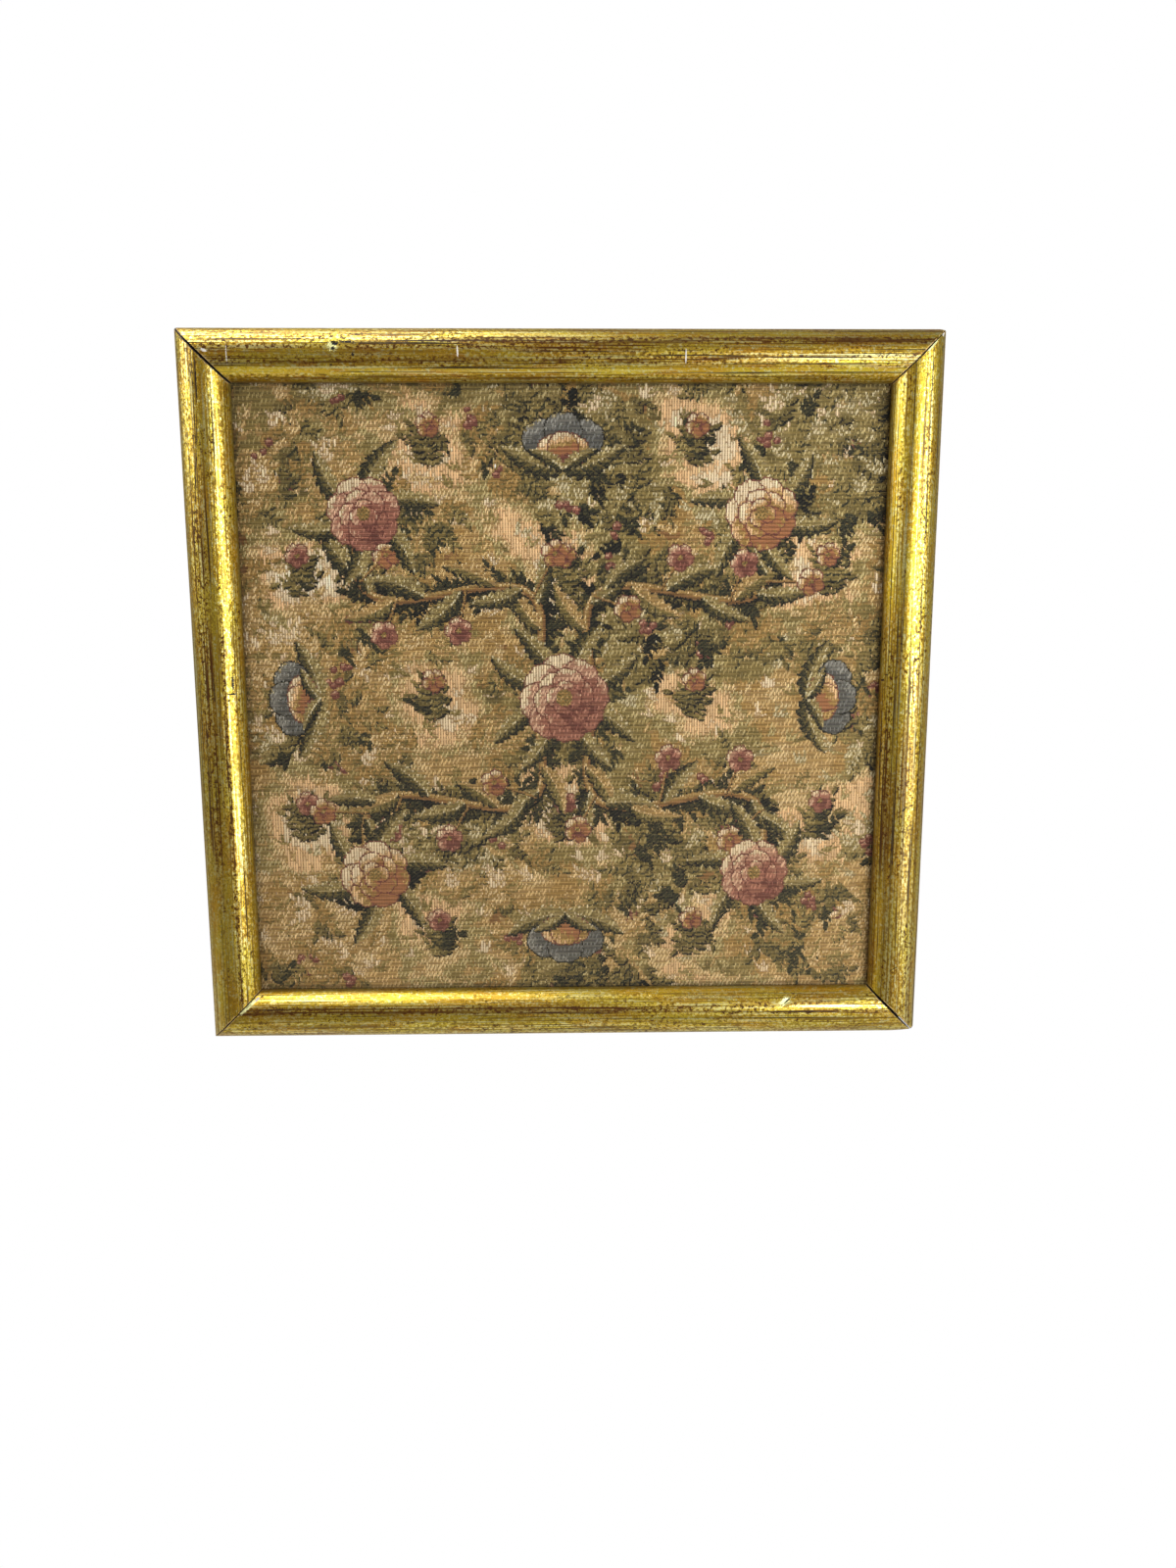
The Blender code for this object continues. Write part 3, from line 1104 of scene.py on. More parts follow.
@dataclass
class VerdureDesign:
    """The design on the cloth: flower heads on scrolling stems, in a field of small leaves and sprays.

    Bushes grow where the field light is under bush_light and the field thickness is over
    bush_thickness. The pale compartments lie where the light is over pale_light.
    """

    columns: int
    rows: int
    pitch_x: float
    pitch_z: float
    seed: int = 11
    reach_x: float = 0.188
    reach_z: float = 0.180
    flower_x: float = 0.112
    flower_z: float = 0.104
    tuft_gap: float = 12 * MM
    bush_gap: float = 17 * MM
    sprig_x: float = 0.075
    sprig_z: float = 0.071
    sprig_drop: float = 12 * MM
    bush_light: float = 0.56
    bush_thickness: float = 0.34
    pale_light: float = 0.565

    def __post_init__(self) -> None:
        """Lays out the cells' places and the raggedness that weaving gives to every edge."""
        x = (np.arange(self.columns) - (self.columns - 1) / 2) * self.pitch_x
        z = (np.arange(self.rows) - (self.rows - 1) / 2) * self.pitch_z
        self.draw = np.random.default_rng(self.seed)
        shape = (self.rows, self.columns)
        self.x = np.broadcast_to(x[None, :], shape) + self.draw.normal(0, 0.12 * MM, (self.rows, 1))
        self.z = np.broadcast_to(z[:, None], shape) + self.draw.normal(0, 0.22 * MM, (1, self.columns))
        self.rough = self.draw.normal(0, 0.08 * MM, shape)
        row, column = np.arange(self.rows)[:, None], np.arange(self.columns)[None, :]
        self.hatch = ((row // 2 * 2 + column) % 5) / 4 - 0.5 + self.draw.normal(0, 0.2, shape)
        self.cells = np.full(shape, NAMES.index("olive"))
        self.thickness = cloud(shape, (8, 8), 27)
        self.gilding = cloud(shape, (7, 6), 28) - 1.4 * self.z
        self.depth = cloud(shape, (9, 8), 29)
        waves = np.cos(2 * math.pi * self.x / 0.150) * np.cos(2 * math.pi * self.z / 0.142)
        self.light = 0.5 - 0.26 * waves + 0.26 * (cloud(shape, (13, 12), 24) - 0.5)

    def here(self, field: np.ndarray, x: float, z: float) -> float:
        """What a field, which has one number for each cell, holds at a point."""
        row = int(np.clip(z / self.pitch_z + self.rows / 2, 0, self.rows - 1))
        return float(field[row, int(np.clip(x / self.pitch_x + self.columns / 2, 0, self.columns - 1))])

    def near(self, x: float, z: float, reach: float) -> tuple[slice, slice]:
        """The cells within reach of a point.

        Args:
            x, z: the point.
            reach: how far.

        Returns:
            Their rows and columns.
        """
        rows = [int((z + side * reach) / self.pitch_z + self.rows / 2) for side in (-1, 1)]
        columns = [int((x + side * reach) / self.pitch_x + self.columns / 2) for side in (-1, 1)]
        return slice(max(rows[0], 0), max(rows[1], 0)), slice(max(columns[0], 0), max(columns[1], 0))

    @property
    def corner_flowers(self) -> list[Pair]:
        """Where the four flower heads outside the middle one are."""
        return [(side_x * self.flower_x, side_z * self.flower_z) for side_x, side_z in QUARTERS]

    def shade(
        self, where: np.ndarray, tone: Any, ramp: Ramp, spot: Any = ..., hatched: float = 0.0
    ) -> None:
        """Gives cells the passages of a ramp from dark to light.

        Args:
            where: which cells of the spot.
            tone: how light each cell is, 0 to 1.
            ramp: the passages.
            spot: the rows and columns that are looked at.
            hatched: how far one passage is hatched into the next.
        """
        steps = np.array([NAMES.index(name) for name in ramp])
        place = np.clip(tone + hatched * self.hatch[spot] / len(ramp), 0, 0.999) * len(ramp)
        chosen = np.broadcast_to(steps[place.astype(int)], where.shape)
        self.cells[spot][where] = chosen[where]

    def turned(self, x: float, z: float, heading: float, reach: float) -> tuple[Any, Any, Any]:
        """The cells round a point, measured along a heading and to its left.

        Args:
            x, z: the point.
            heading: the way.
            reach: how far.

        Returns:
            Their rows and columns, and each one's distance ahead and to the left.
        """
        spot = self.near(x, z, reach)
        from_x, from_z = self.x[spot] - x, self.z[spot] - z
        ahead = from_x * math.cos(heading) + from_z * math.sin(heading)
        return spot, ahead, from_z * math.cos(heading) - from_x * math.sin(heading)

    def weave(self) -> np.ndarray:
        """Draws the whole design.

        Returns:
            Each cell's place in NAMES, bottom row first.
        """
        self._ground()
        for x, z in self._scatter(self.tuft_gap):
            self._tuft(x, z)
        for x, z in self._scatter(self.bush_gap):
            dim = self.here(self.light, x, z) < self.bush_light
            if dim and self.here(self.thickness, x, z) > self.bush_thickness:
                radius = self.draw.uniform(8, 14) * MM
                self._bush(x, z, radius, 0.34 + 0.34 * self.here(self.depth, x, z))
        for x, z in [(0.0, 0.0)] + self.corner_flowers:
            self._bush(x, z, 27 * MM, 0.25)
        for turn_x in range(-2, 3):
            for turn_z in range(-2, 3):
                if (turn_x + turn_z) % 2:
                    self._sprig(turn_x * self.sprig_x, turn_z * self.sprig_z - self.sprig_drop)
        self._scrolls()
        return self.cells

    def _scatter(self, gap: float) -> list[tuple[float, float]]:
        """Places about a gap apart, in staggered rows that have been shaken.

        Args:
            gap: how far apart.

        Returns:
            The places, in a mixed order.
        """
        places = []
        for line in range(int(2 * self.reach_z / gap) + 2):
            for stop in range(int(2 * self.reach_x / gap) + 2):
                x = -self.reach_x + (stop + line % 2 / 2) * gap + self.draw.normal(0, 0.22 * gap)
                places.append((x, -self.reach_z + line * gap + self.draw.normal(0, 0.22 * gap)))
        self.draw.shuffle(places)
        return places

    def _ground(self) -> None:
        """Green and golden ground with pale compartments whose edges are toothed like flames."""
        shape = self.cells.shape
        toothed = (self.draw.normal(0, 1.6 * MM, self.columns) / self.pitch_z).astype(int)
        row = np.clip(np.arange(self.rows)[:, None] + toothed[None, :], 0, self.rows - 1)
        column = np.arange(self.columns)[None, :]
        brushed = cloud(shape, (60, 15), 23) - 0.5
        tone = 0.52 + 0.9 * (cloud(shape, (24, 18), 22) - 0.5) + 0.36 * brushed
        golden = (cloud(shape, (10, 9), 21) + 0.3 * brushed - 1.6 * self.z)[row, column]
        self.shade(golden <= 0.46, tone, ("moss", "olive", "olive", "khaki", "sage"), hatched=0.16)
        self.shade(golden > 0.46, tone, ("brown", "ochre", "ochre", "sand", "straw"), hatched=0.16)
        self.shade(golden > 0.66, tone + 0.1, ("ochre", "sand", "sand", "straw"), hatched=0.16)
        light = (self.light + 0.14 * brushed)[row, column] - self.pale_light
        pale = ("khaki", "straw", "peach", "peach", "beige", "beige", "cream")
        self.shade(light > 0, light * (3.4 + 4.0 * self.z), pale, hatched=0.2)

    def _leaflet(
        self, x: float, z: float, heading: float, length: float, lit: float, ramp: Ramp, slim: float
    ) -> None:
        """A small pointed leaf.

        Args:
            x, z: where it starts.
            heading: the way that it points.
            length: its length.
            lit: how light it is, 0 to 1.
            ramp: its passages.
            slim: its half width, as a share of its length.
        """
        spot, ahead, aside = self.turned(x, z, heading, length)
        share = np.clip(ahead / length, 0, 1)
        half = slim * length * np.sin(math.pi * share ** 0.7) + self.rough[spot]
        self.shade((share > 0) & (share < 1) & (np.abs(aside) < half), lit, ramp, spot)

    def _tuft(self, x: float, z: float) -> None:
        """A few thin blades that fan out from one root.

        Args:
            x, z: the root.
        """
        middle = self.draw.uniform(0.2, math.pi - 0.2)
        lit = self.draw.choice([0.30, 0.62, 0.74, 0.86])
        ramp = GOLDS if self.here(self.gilding, x, z) > 0.5 else GREENS
        for _ in range(self.draw.integers(4, 9)):
            heading = middle + self.draw.normal(0, 0.5)
            size = self.draw.uniform(5, 10) * MM
            self._leaflet(x + self.draw.normal(0, 1.5 * MM), z, heading, size, lit, ramp, 0.085)

    def _bush(self, x: float, z: float, radius: float, level: float) -> None:
        """A clump of leafy sprays: dark below and to the right, light above and to the left.

        Args:
            x, z: its middle.
            radius: how far it spreads.
            level: how light it is.
        """
        ramp = GOLDS if self.here(self.gilding, x, z) + self.draw.normal(0, 0.06) > 0.51 else GREENS
        lean = self.draw.uniform(0, 2 * math.pi)
        turns = self.draw.uniform(0, 2 * math.pi, int(radius * 800))
        fars = np.sqrt(self.draw.random(len(turns)))
        height = fars * (0.8 * np.sin(turns) - 0.6 * np.cos(turns))
        for k in np.argsort(height):
            out_x, out_z = fars[k] * math.cos(turns[k]), fars[k] * math.sin(turns[k])
            way = math.atan2(out_z + 0.8 * math.sin(lean), out_x + 0.8 * math.cos(lean))
            way += self.draw.normal(0, 0.3)
            lit = level + 0.26 * height[k] + self.draw.choice((-0.20, 0.0, 0.0, 0.18))
            self._spray(x + 0.8 * radius * out_x, z + 0.65 * radius * out_z, way, lit, ramp)
        if self.draw.random() < 0.22:
            for _ in range(int(self.draw.integers(3, 7))):
                way, far = self.draw.uniform(0, 2 * math.pi), 0.6 * radius * self.draw.random()
                berry = ahead_of(x, z, way, far)
                self._petal(*berry, self.draw.uniform(1.1, 2.0) * MM, 1.8, 0.4, ROSES)

    def _spray(self, x: float, z: float, heading: float, lit: float, ramp: Ramp) -> None:
        """A curved twig with small leaves on both sides, over its own shade.

        Args:
            x, z: its root.
            heading: the way that it starts.
            lit: how light it is.
            ramp: the leaves' passages.
        """
        bend, steps = self.draw.normal(0, 0.2), int(self.draw.integers(2, 5))
        leaves = []
        for step in range(steps):
            for side in (-1, 1):
                way = heading + side * (0.8 + self.draw.normal(0, 0.15))
                size = self.draw.uniform(4.8, 7.8) * MM * (1 - 0.35 * step / steps)
                leaves.append((x, z, way, size))
            x, z = ahead_of(x, z, heading, 3.2 * MM)
            heading += bend
        leaves.append((x, z, heading, 6.5 * MM))
        for right, down, tone in ((0.8 * MM, 1.0 * MM, lit - 0.26), (0.0, 0.0, lit)):
            for leaf_x, leaf_z, way, size in leaves:
                self._leaflet(leaf_x + right, leaf_z - down, way, size, tone, ramp, 0.19)

    def _sprig(self, x: float, z: float) -> None:
        """A small upright plant with one blossom, on a pale compartment.

        Args:
            x, z: its foot.
        """
        tall = 20 * MM
        rise = np.linspace(0, tall, 40)
        bow = 2 * MM * np.sin(rise / tall * math.pi) * self.draw.choice((-1, 1))
        self._stem(x + bow, z + rise, 0.7 * MM)
        for k in range(3, 34, 7):
            for side in (-1, 1):
                heading = math.pi / 2 - side * (0.8 + self.draw.normal(0, 0.12))
                self._spray(x + bow[k], z + rise[k], heading, self.draw.uniform(0.24, 0.5), GREENS)
        self._flower(x, z + tall + 2 * MM, 6.5 * MM, 5, ROSES if self.draw.random() < 0.6 else CORALS)

    def _scrolls(self) -> None:
        """Flower heads joined by curling stems with long leaves, alike in each quarter but for chance."""
        for side_x, side_z in QUARTERS:
            self._quarter(side_x, side_z)
        for side in (-1, 1):
            self._fan(0.0, side * 0.128, math.pi / 2 * side, 0.034)
            self._fan(side * 0.140, 0.0, 0.0 if side > 0 else math.pi, 0.032)
        for arm in range(8):
            heading = math.pi / 8 + arm * math.pi / 4 + self.draw.normal(0, 0.05)
            root = ahead_of(0.0, 0.0, heading, 0.017)
            self._leaf(*root, heading, 0.031, 0.25 * (-1) ** arm, GREENS)
        self._flower(0.0, 0.0, 0.025, 8, ROSES)
        for x, z in self.corner_flowers:
            self._flower(x, z, 0.020, 7, CORALS if x * z > 0 else ROSES)

    def _quarter(self, side_x: int, side_z: int) -> None:
        """The stem and leaves between the middle and one corner flower.

        Args:
            side_x, side_z: which quarter.
        """
        t = np.linspace(0, 1, 160)
        last = len(t) - 1
        sway = 0.022 * np.sin(2 * math.pi * t)
        path_x = side_x * (0.016 + 0.098 * t - sway)
        path_z = side_z * (0.014 + 0.092 * t + sway)
        way = np.arctan2(np.gradient(path_z), np.gradient(path_x))
        for k in range(8, 150, 5):
            for side in (-1, 1):
                heading = way[k] + side * (0.9 + self.draw.normal(0, 0.25))
                self._spray(path_x[k], path_z[k], heading, self.draw.uniform(0.12, 0.34), GREENS)
        self._stem(path_x, path_z, 2.3 * MM)
        for turn in range(10):
            k = int((0.12 + 0.088 * turn) * last)
            side = (-1) ** turn
            heading = way[k] + side * (0.8 + self.draw.normal(0, 0.12))
            size = self.draw.uniform(24, 34) * MM
            ramp = GREENS if turn % 3 else GOLDS
            self._leaf(path_x[k], path_z[k], heading, size, -0.35 * side, ramp)
        for place, side in ((0.24, -1), (0.46, 1), (0.64, 1), (0.80, -1)):
            k = int(place * last)
            heading = way[k] + side * 1.2
            far = 0.020 + 0.008 * self.draw.random()
            self._stem(*ahead_of(path_x[k], path_z[k], heading, np.linspace(0, far, 40)), 0.7 * MM)
            bud = ahead_of(path_x[k], path_z[k], heading, far)
            self._flower(*bud, 7.5 * MM, 5, ROSES if side > 0 else CORALS)
        for spread in (0.5, 1.5, 2.6, 3.7, 4.8, 5.8):
            root = ahead_of(side_x * self.flower_x, side_z * self.flower_z, spread, 0.013)
            size = 0.028 + 0.004 * self.draw.random()
            self._leaf(*root, spread + 0.25 * side_x, size, 0.3 * side_x, GREENS)

    def _stem(self, path_x: np.ndarray, path_z: np.ndarray, half: float) -> None:
        """A stem, dark on its lower side and light on its upper one.

        Args:
            path_x, path_z: the points that it follows.
            half: half of its width.
        """
        # Columns: how light the stroke is, how far down it lies and its width, as shares of half the stem
        strokes = ((0.0, 0.6, 1.1), (0.4, 0.1, 0.95), (0.75, -0.3, 0.55), (0.95, -0.5, 0.25))
        for lit, drop, width in strokes:
            for x, z in zip(path_x + 0.5 * drop * half, path_z - drop * half):
                spot = self.near(x, z, 3 * half)
                far = np.hypot(self.x[spot] - x, self.z[spot] - z)
                self.shade(far + self.rough[spot] < half * width, lit, WOODS, spot)

    def _leaf(
        self, x: float, z: float, heading: float, length: float, bend: float, ramp: Ramp, wide: float = 0.42
    ) -> None:
        """A long leaf or petal with one lit and one shaded half; a wide one is toothed and ribbed.

        Args:
            x, z: where it starts.
            heading: the way that it points.
            length: its length.
            bend: how far it curls to its left.
            ramp: its passages.
            wide: its width, as a share of its length.
        """
        spot, ahead, aside = self.turned(x, z, heading, length * 1.15)
        share = ahead / length
        aside = aside - bend * length * share ** 2
        safe = np.clip(share, 0, 1)
        half = wide * length / 2 * np.sin(math.pi * safe ** 0.8) ** 0.75
        depth = np.abs(aside) / np.maximum(half, 0.1 * MM)
        toothed = 1.0 if wide > 0.35 else 0.0
        ribs = (safe * 7.5 - depth * 1.1) % 1.0
        edge = half * (1 - 0.40 * toothed * ((safe * 6.5 - depth * 0.3) % 1.0) ** 1.4) + self.rough[spot]
        within = (share > 0) & (share < 1)
        upper = 1.0 if math.cos(heading) - 0.4 * math.sin(heading) > 0 else -1.0
        lit = np.sign(aside * upper)
        self.shade(within & (np.abs(aside) < edge + 0.9 * MM) & (lit < 0), 0.0, GREENS, spot)
        tone = 0.46 + lit * (0.10 + 0.22 * depth) + 0.16 * toothed * (ribs - 0.5) - 0.12 * (ribs < 0.14)
        tone = tone + 0.1 * (safe - 0.5)
        inside = within & (np.abs(aside) < edge)
        self.shade(inside, tone, ramp, spot, 0.5)
        self.shade(inside & (np.abs(aside) < 0.5 * MM * (1.3 - safe)), 0.80, ramp, spot)

    def _petal(self, x: float, z: float, radius: float, heading: float, lit: float, ramp: Ramp) -> None:
        """A round petal, dark at its foot and light at its rim, with a dark line round it.

        Args:
            x, z: its middle.
            radius: its radius.
            heading: the way from its foot to its rim.
            lit: how light its middle is.
            ramp: its passages.
        """
        spot, ahead, aside = self.turned(x, z, heading, radius * 1.6)
        notch = 1 - 0.10 * np.exp(-(aside / (0.25 * radius)) ** 2) * (ahead > 0)
        far = np.hypot(ahead, aside) / notch + self.rough[spot]
        self.shade(far < radius + 0.7 * MM, 0.0, ramp, spot)
        veins = 0.04 * np.cos(aside / radius * 13.0)
        height = (self.z[spot] - z - 0.7 * (self.x[spot] - x)) / radius
        tone = lit + 0.34 * ahead / radius + 0.16 * height + veins
        self.shade(far < radius, tone, ramp, spot, 0.35)

    def _flower(self, x: float, z: float, radius: float, petals: int, ramp: Ramp) -> None:
        """A flower head: rings of petals, each over the one outside it, round a dotted heart.

        Args:
            x, z: its middle.
            radius: its radius.
            petals: how many in the outer ring.
            ramp: the petals' passages.
        """
        rings = ((0.60, 0.42, petals), (0.35, 0.34, petals - 2), (0.17, 0.22, petals - 4))
        for far, size, count in rings if radius > 10 * MM else rings[:1]:
            start = self.draw.uniform(0, math.pi)
            for k in range(count):
                way = start + 2 * math.pi * k / count
                facing = math.sin(way) - 0.7 * math.cos(way)
                lit = 0.46 + 0.2 * facing * far / 0.62 + self.draw.normal(0, 0.04)
                wide = size * radius * self.draw.uniform(0.94, 1.08)
                self._petal(*ahead_of(x, z, way, far * radius), wide, way, lit, ramp)
        spot, ahead, aside = self.turned(x, z, 0.0, radius)
        heart = np.hypot(ahead, aside) + self.rough[spot] < 0.19 * radius
        dots = (np.sin(ahead / MM * 2.6) * np.sin(aside / MM * 2.6)) > 0.1
        self.shade(heart, 0.55 - 0.35 * dots - 0.15 * ahead / radius, GOLDS, spot)

    def _fan(self, x: float, z: float, heading: float, radius: float) -> None:
        """A half-open flower seen from its side, in a cup of long leaves.

        Args:
            x, z: its foot.
            heading: the way that it opens.
            radius: its reach.
        """
        for side in (-1, 1):
            self._leaf(x, z, heading + side * 1.5, radius * 1.05, -0.3 * side, GREENS)
        for ramp, far, size, spread in ((BLUES, 0.62, 0.30, 0.62), (CORALS, 0.36, 0.24, 0.5)):
            for way in (heading - spread, heading + spread, heading):
                self._petal(*ahead_of(x, z, way, far * radius), size * radius, way, 0.42, ramp)
        for side in (-1, 1):
            self._leaf(x, z, heading + side * 0.75, radius * 0.62, 0.3 * side, GREENS)


@dataclass(frozen=True)
class YarnFinish:
    """Matt wool and cotton yarn whose dye is in the mesh's colours."""

    name: str
    along: float
    across: float
    contrast: float
    beads: bool

    def make(self, shelf: EffectShelf) -> Material:
        """Builds the material.

        Args:
            shelf: the shared effects.

        Returns:
            The material.
        """
        material, desk, shader = new_material(self.name)
        place = desk.mapped(CLOTH_MAP)
        values = {"Place": place, "Along": self.along, "Across": self.across, "Contrast": self.contrast}
        spun = shelf.fibre.place(desk, {"Colour": desk.stored("yarn", "Color"), **values})
        colour, height = spun["Colour"], spun["Height"]
        if self.beads:
            turns = desk.times(desk.split(place)[0], math.pi / Tapestry.pitch_x)
            bead = desk.math("ABSOLUTE", desk.math("SINE", desk.times(turns, 0.5)))
            # Painted shade: the colour is darkened between the beads, where the weft dips round the warp.
            colour = desk.dim(colour, desk.plus(desk.times(bead, 0.10), 0.93))
            height = desk.plus(desk.times(height, 0.4), desk.times(bead, 0.35))
        desk.feed(shader.inputs["Base Color"], shelf.dusted(desk, colour, 0.08))
        desk.feed(shader.inputs["Normal"], desk.bump(height, 0.12 * MM, 0.8))
        shader.inputs["Roughness"].default_value = 0.92
        shader.inputs["Specular IOR Level"].default_value = 0.2
        shader.inputs["Sheen Weight"].default_value = 0.12
        return material


@dataclass(frozen=True)
class Thread:
    """One float: a warp thread that runs over some ribs."""

    column: int
    first: int
    last: int
    colour: Colour


# A stray white yarn end in the upper left of the cloth
STRAY_END = Thread(194, 554, 558, dye(240, 238, 230))

# The floats' pieces, and for each the sums of red, green and blue between which its floats lie
FLOAT_PIECES = {
    "warp_dots_dark": (0.0, 0.12),
    "warp_floats_mid": (0.12, 1.45),
    "warp_floats_pale": (1.45, 9.0),
}

# The loose yarns that lie on the cloth's back, from dark to light
BACK_YARNS = (dye(78, 74, 56), dye(104, 94, 62), dye(134, 98, 70), dye(142, 122, 82), dye(172, 152, 114))


@dataclass
class Tapestry:
    """The cloth: a thin woven sheet in the rabbet, its ribs, and the warp threads that float over them.

    The lip shade reach is how far painted shade under the frame's lip darkens the cloth in from the sight
    edge. The turn tones are the two shades that take turns from rib to rib. A float over more rows than
    long_rows has the long ones' width.
    """

    pitch_x: float = 0.75 * MM
    pitch_z: float = 0.55 * MM
    columns: int = 490
    rows: int = 640
    flat_width: float = 0.3754
    flat_height: float = 0.3594
    back_y: float = -0.0052
    valley_y: float = -0.00665
    crest_y: float = -0.00705
    float_y: float = -0.00732
    sheet_columns: int = 200
    sheet_lines: int = 327
    lip_shade_reach: float = 4.5 * MM
    turn_tones: Pair = (1.06, 0.925)
    long_rows: int = 5
    long_width: float = 0.50 * MM
    short_width: float = 0.37 * MM

    def __post_init__(self) -> None:
        """Draws the design: the passage that each cell of the weave holds, bottom row first."""
        self.cells = VerdureDesign(self.columns, self.rows, self.pitch_x, self.pitch_z).weave()

    def build(self, shelf: EffectShelf) -> list[Piece]:
        """Makes the sheet and its yarns and lets them stand for the CAD node.

        Args:
            shelf: the shared effects.

        Returns:
            The sheet and the yarn pieces.
        """
        weft = YarnFinish("weft_yarn", 300.0, 5000.0, 0.3, True).make(shelf)
        warp = YarnFinish("warp_yarn", 5000.0, 300.0, 0.35, False).make(shelf)
        half = self.rows // 2
        yarns = [
            self._ribs("weft_ribs_lower", 0, half, weft),
            self._ribs("weft_ribs_upper", half, self.rows, weft),
        ]
        threads = self._threads()
        for name, (low, high) in FLOAT_PIECES.items():
            group = [thread for thread in threads if low < sum(thread.colour) <= high]
            yarns.append(self._floats(name, group, warp))
        sheet = self._sheet(shelf)
        for piece in [sheet] + yarns:
            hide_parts("tapestry")
            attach(piece, "root")
        return [sheet] + yarns

    def _rib_dyes(self, row: np.ndarray, first: np.ndarray, last: np.ndarray) -> np.ndarray:
        """The colour of each run of weft: two shades take turns from rib to rib.

        Args:
            row, first, last: where the runs are.

        Returns:
            Linear colours.
        """
        draw = np.random.default_rng(31)
        table = np.array([PASSAGES[name].ribs for name in NAMES])
        odd = draw.random(len(row)) < 0.04
        colours = self._faded(table[self.cells[row, first], (row // 2 + odd) % 2], self._z(row)[:, None])
        rib_tone = draw.normal(1.0, 0.045, self.rows // 2 + 1)[row // 2]
        run_tone = draw.normal(1.0, 0.06, len(row))
        turn_tone = np.array(self.turn_tones)[row // 2 % 2]
        worn = 1.04 + 0.14 * cloud(self.cells.shape, (5, 5), 32)[row, first]
        # Painted shade under the frame's lip darkens the ribs near the sight edge.
        lip_shade = self._painted_lip_shade(self._x((first + last) / 2), self._z(row + 0.5))
        return kept_in(colours * (rib_tone * run_tone * turn_tone * worn * lip_shade)[:, None])

    def _faded(self, colour: Any, z: Any) -> np.ndarray:
        """A yarn's colour after years of light: nearer to one brown, most of all low down."""
        keep = 0.93 - 0.09 * np.clip(0.5 - (z - CENTRE.z) / 0.16, 0.0, 1.0)
        return FADED * (np.asarray(colour) / FADED) ** keep

    def _painted_lip_shade(self, x: Any, z: Any) -> Any:
        """How much a yarn's colour keeps: painted shade darkens it along the sight edge, under the frame's
        lip.

        Args:
            x, z: where the yarn is.

        Returns:
            A factor for its colour.
        """
        half_x, half_z = PICTURE_WIDTH / 2 - Moulding.width, PICTURE_HEIGHT / 2 - Moulding.width
        inside = np.minimum(half_x - np.abs(x), half_z - np.abs(z - CENTRE.z))
        return 0.42 + 0.58 * np.clip(inside / self.lip_shade_reach, 0.0, 1.0) ** 0.6

    def _x(self, column: np.ndarray) -> np.ndarray:
        """Where the left edge of a column is."""
        return CENTRE.x + (column - self.columns / 2) * self.pitch_x

    def _z(self, row: np.ndarray) -> np.ndarray:
        """Where the lower edge of a row is."""
        return CENTRE.z + (row - self.rows / 2) * self.pitch_z

    def _ribs(self, name: str, first: int, last: int, finish: Material) -> Piece:
        """The weft ribs of some rows: a rib is two rows high, with its crest between them.

        Each rib is laid in runs, which end where the design changes and here and there between.

        Args:
            name: the piece's name.
            first, last: the rows.
            finish: its material.

        Returns:
            The piece.
        """
        draw = np.random.default_rng(first + 41)
        joins = np.repeat(draw.random(((last - first) // 2, self.columns - 1)) < 0.03, 2, axis=0)
        ends = np.ones((last - first, self.columns + 1), dtype=bool)
        cells = self.cells[first:last]
        ends[:, 1:-1] = (cells[:, 1:] != cells[:, :-1]) | joins
        row, edge = np.nonzero(ends)
        same = row[:-1] == row[1:]
        row, left, right = row[:-1][same] + first, edge[:-1][same], edge[1:][same]
        sway = cloud((self.rows + 1, self.columns + 1), (12, 9), 43) - 0.5
        lift = np.random.default_rng(44).normal(0, 0.025 * MM, self.rows + 1)
        spots = []
        for side, line in ((left, row), (right, row), (right, row + 1), (left, row + 1)):
            crest = np.where(line % 2 == 1, self.crest_y, self.valley_y)
            height = self._z(line) + sway[line, side] * 0.5 * MM
            spots.append(np.stack([self._x(side), crest + lift[line], height], axis=1))
        points = np.stack(spots, axis=1).reshape(-1, 3)
        quads = np.arange(len(points)).reshape(-1, 4)
        piece = new_piece(name, points, [tuple(q) for q in quads.tolist()], [finish])
        self._dress(piece, np.repeat(self._rib_dyes(row, left, right), 4, axis=0))
        return piece

    def _threads(self) -> list[Thread]:
        """Works out the floats, column by column, from the runs of cells that hold one passage.

        Returns:
            The floats.
        """
        draw = np.random.default_rng(51)
        threads = [STRAY_END]
        for column in range(self.columns):
            line = self.cells[:, column]
            cuts = (np.flatnonzero(np.diff(line)) + 1).tolist()
            for first, last in zip([0] + cuts, cuts + [self.rows]):
                threads += self._run_of_floats(PASSAGES[NAMES[line[first]]], column, first, last, draw)
        return threads

    def _run_of_floats(
        self, passage: Passage, column: int, first: int, last: int, draw: np.random.Generator
    ) -> list[Thread]:
        """The floats of one run, in the passage's order; the long ones stand on every second warp end.

        Args:
            passage: the passage.
            column, first, last: where the run is.
            draw: the source of chance.

        Returns:
            The floats.
        """
        if passage.surface is Surface.RIBBED or (passage.surface is Surface.LONG and column % 2):
            return []
        length, rest, slant = FLOAT_ORDER[passage.surface]
        period = length + rest
        threads = []
        for start in range(first - (first - slant * column) % period, last, period):
            low, high = max(start, first), min(start + length, last)
            turn = (3 * column + 7 * (start // period)) % 10
            if high - low > 1 and turn < 10 * passage.cover:
                x, z = self._x(column + 0.5), self._z((low + high) / 2)
                # Painted shade under the frame's lip darkens the floats near the sight edge.
                tone = draw.normal(1.13, 0.09) * float(self._painted_lip_shade(x, z))
                colour = kept_in(self._faded(passage.float_yarn, z) * tone)
                threads.append(Thread(column, low, high, tuple(colour.tolist())))
        return threads

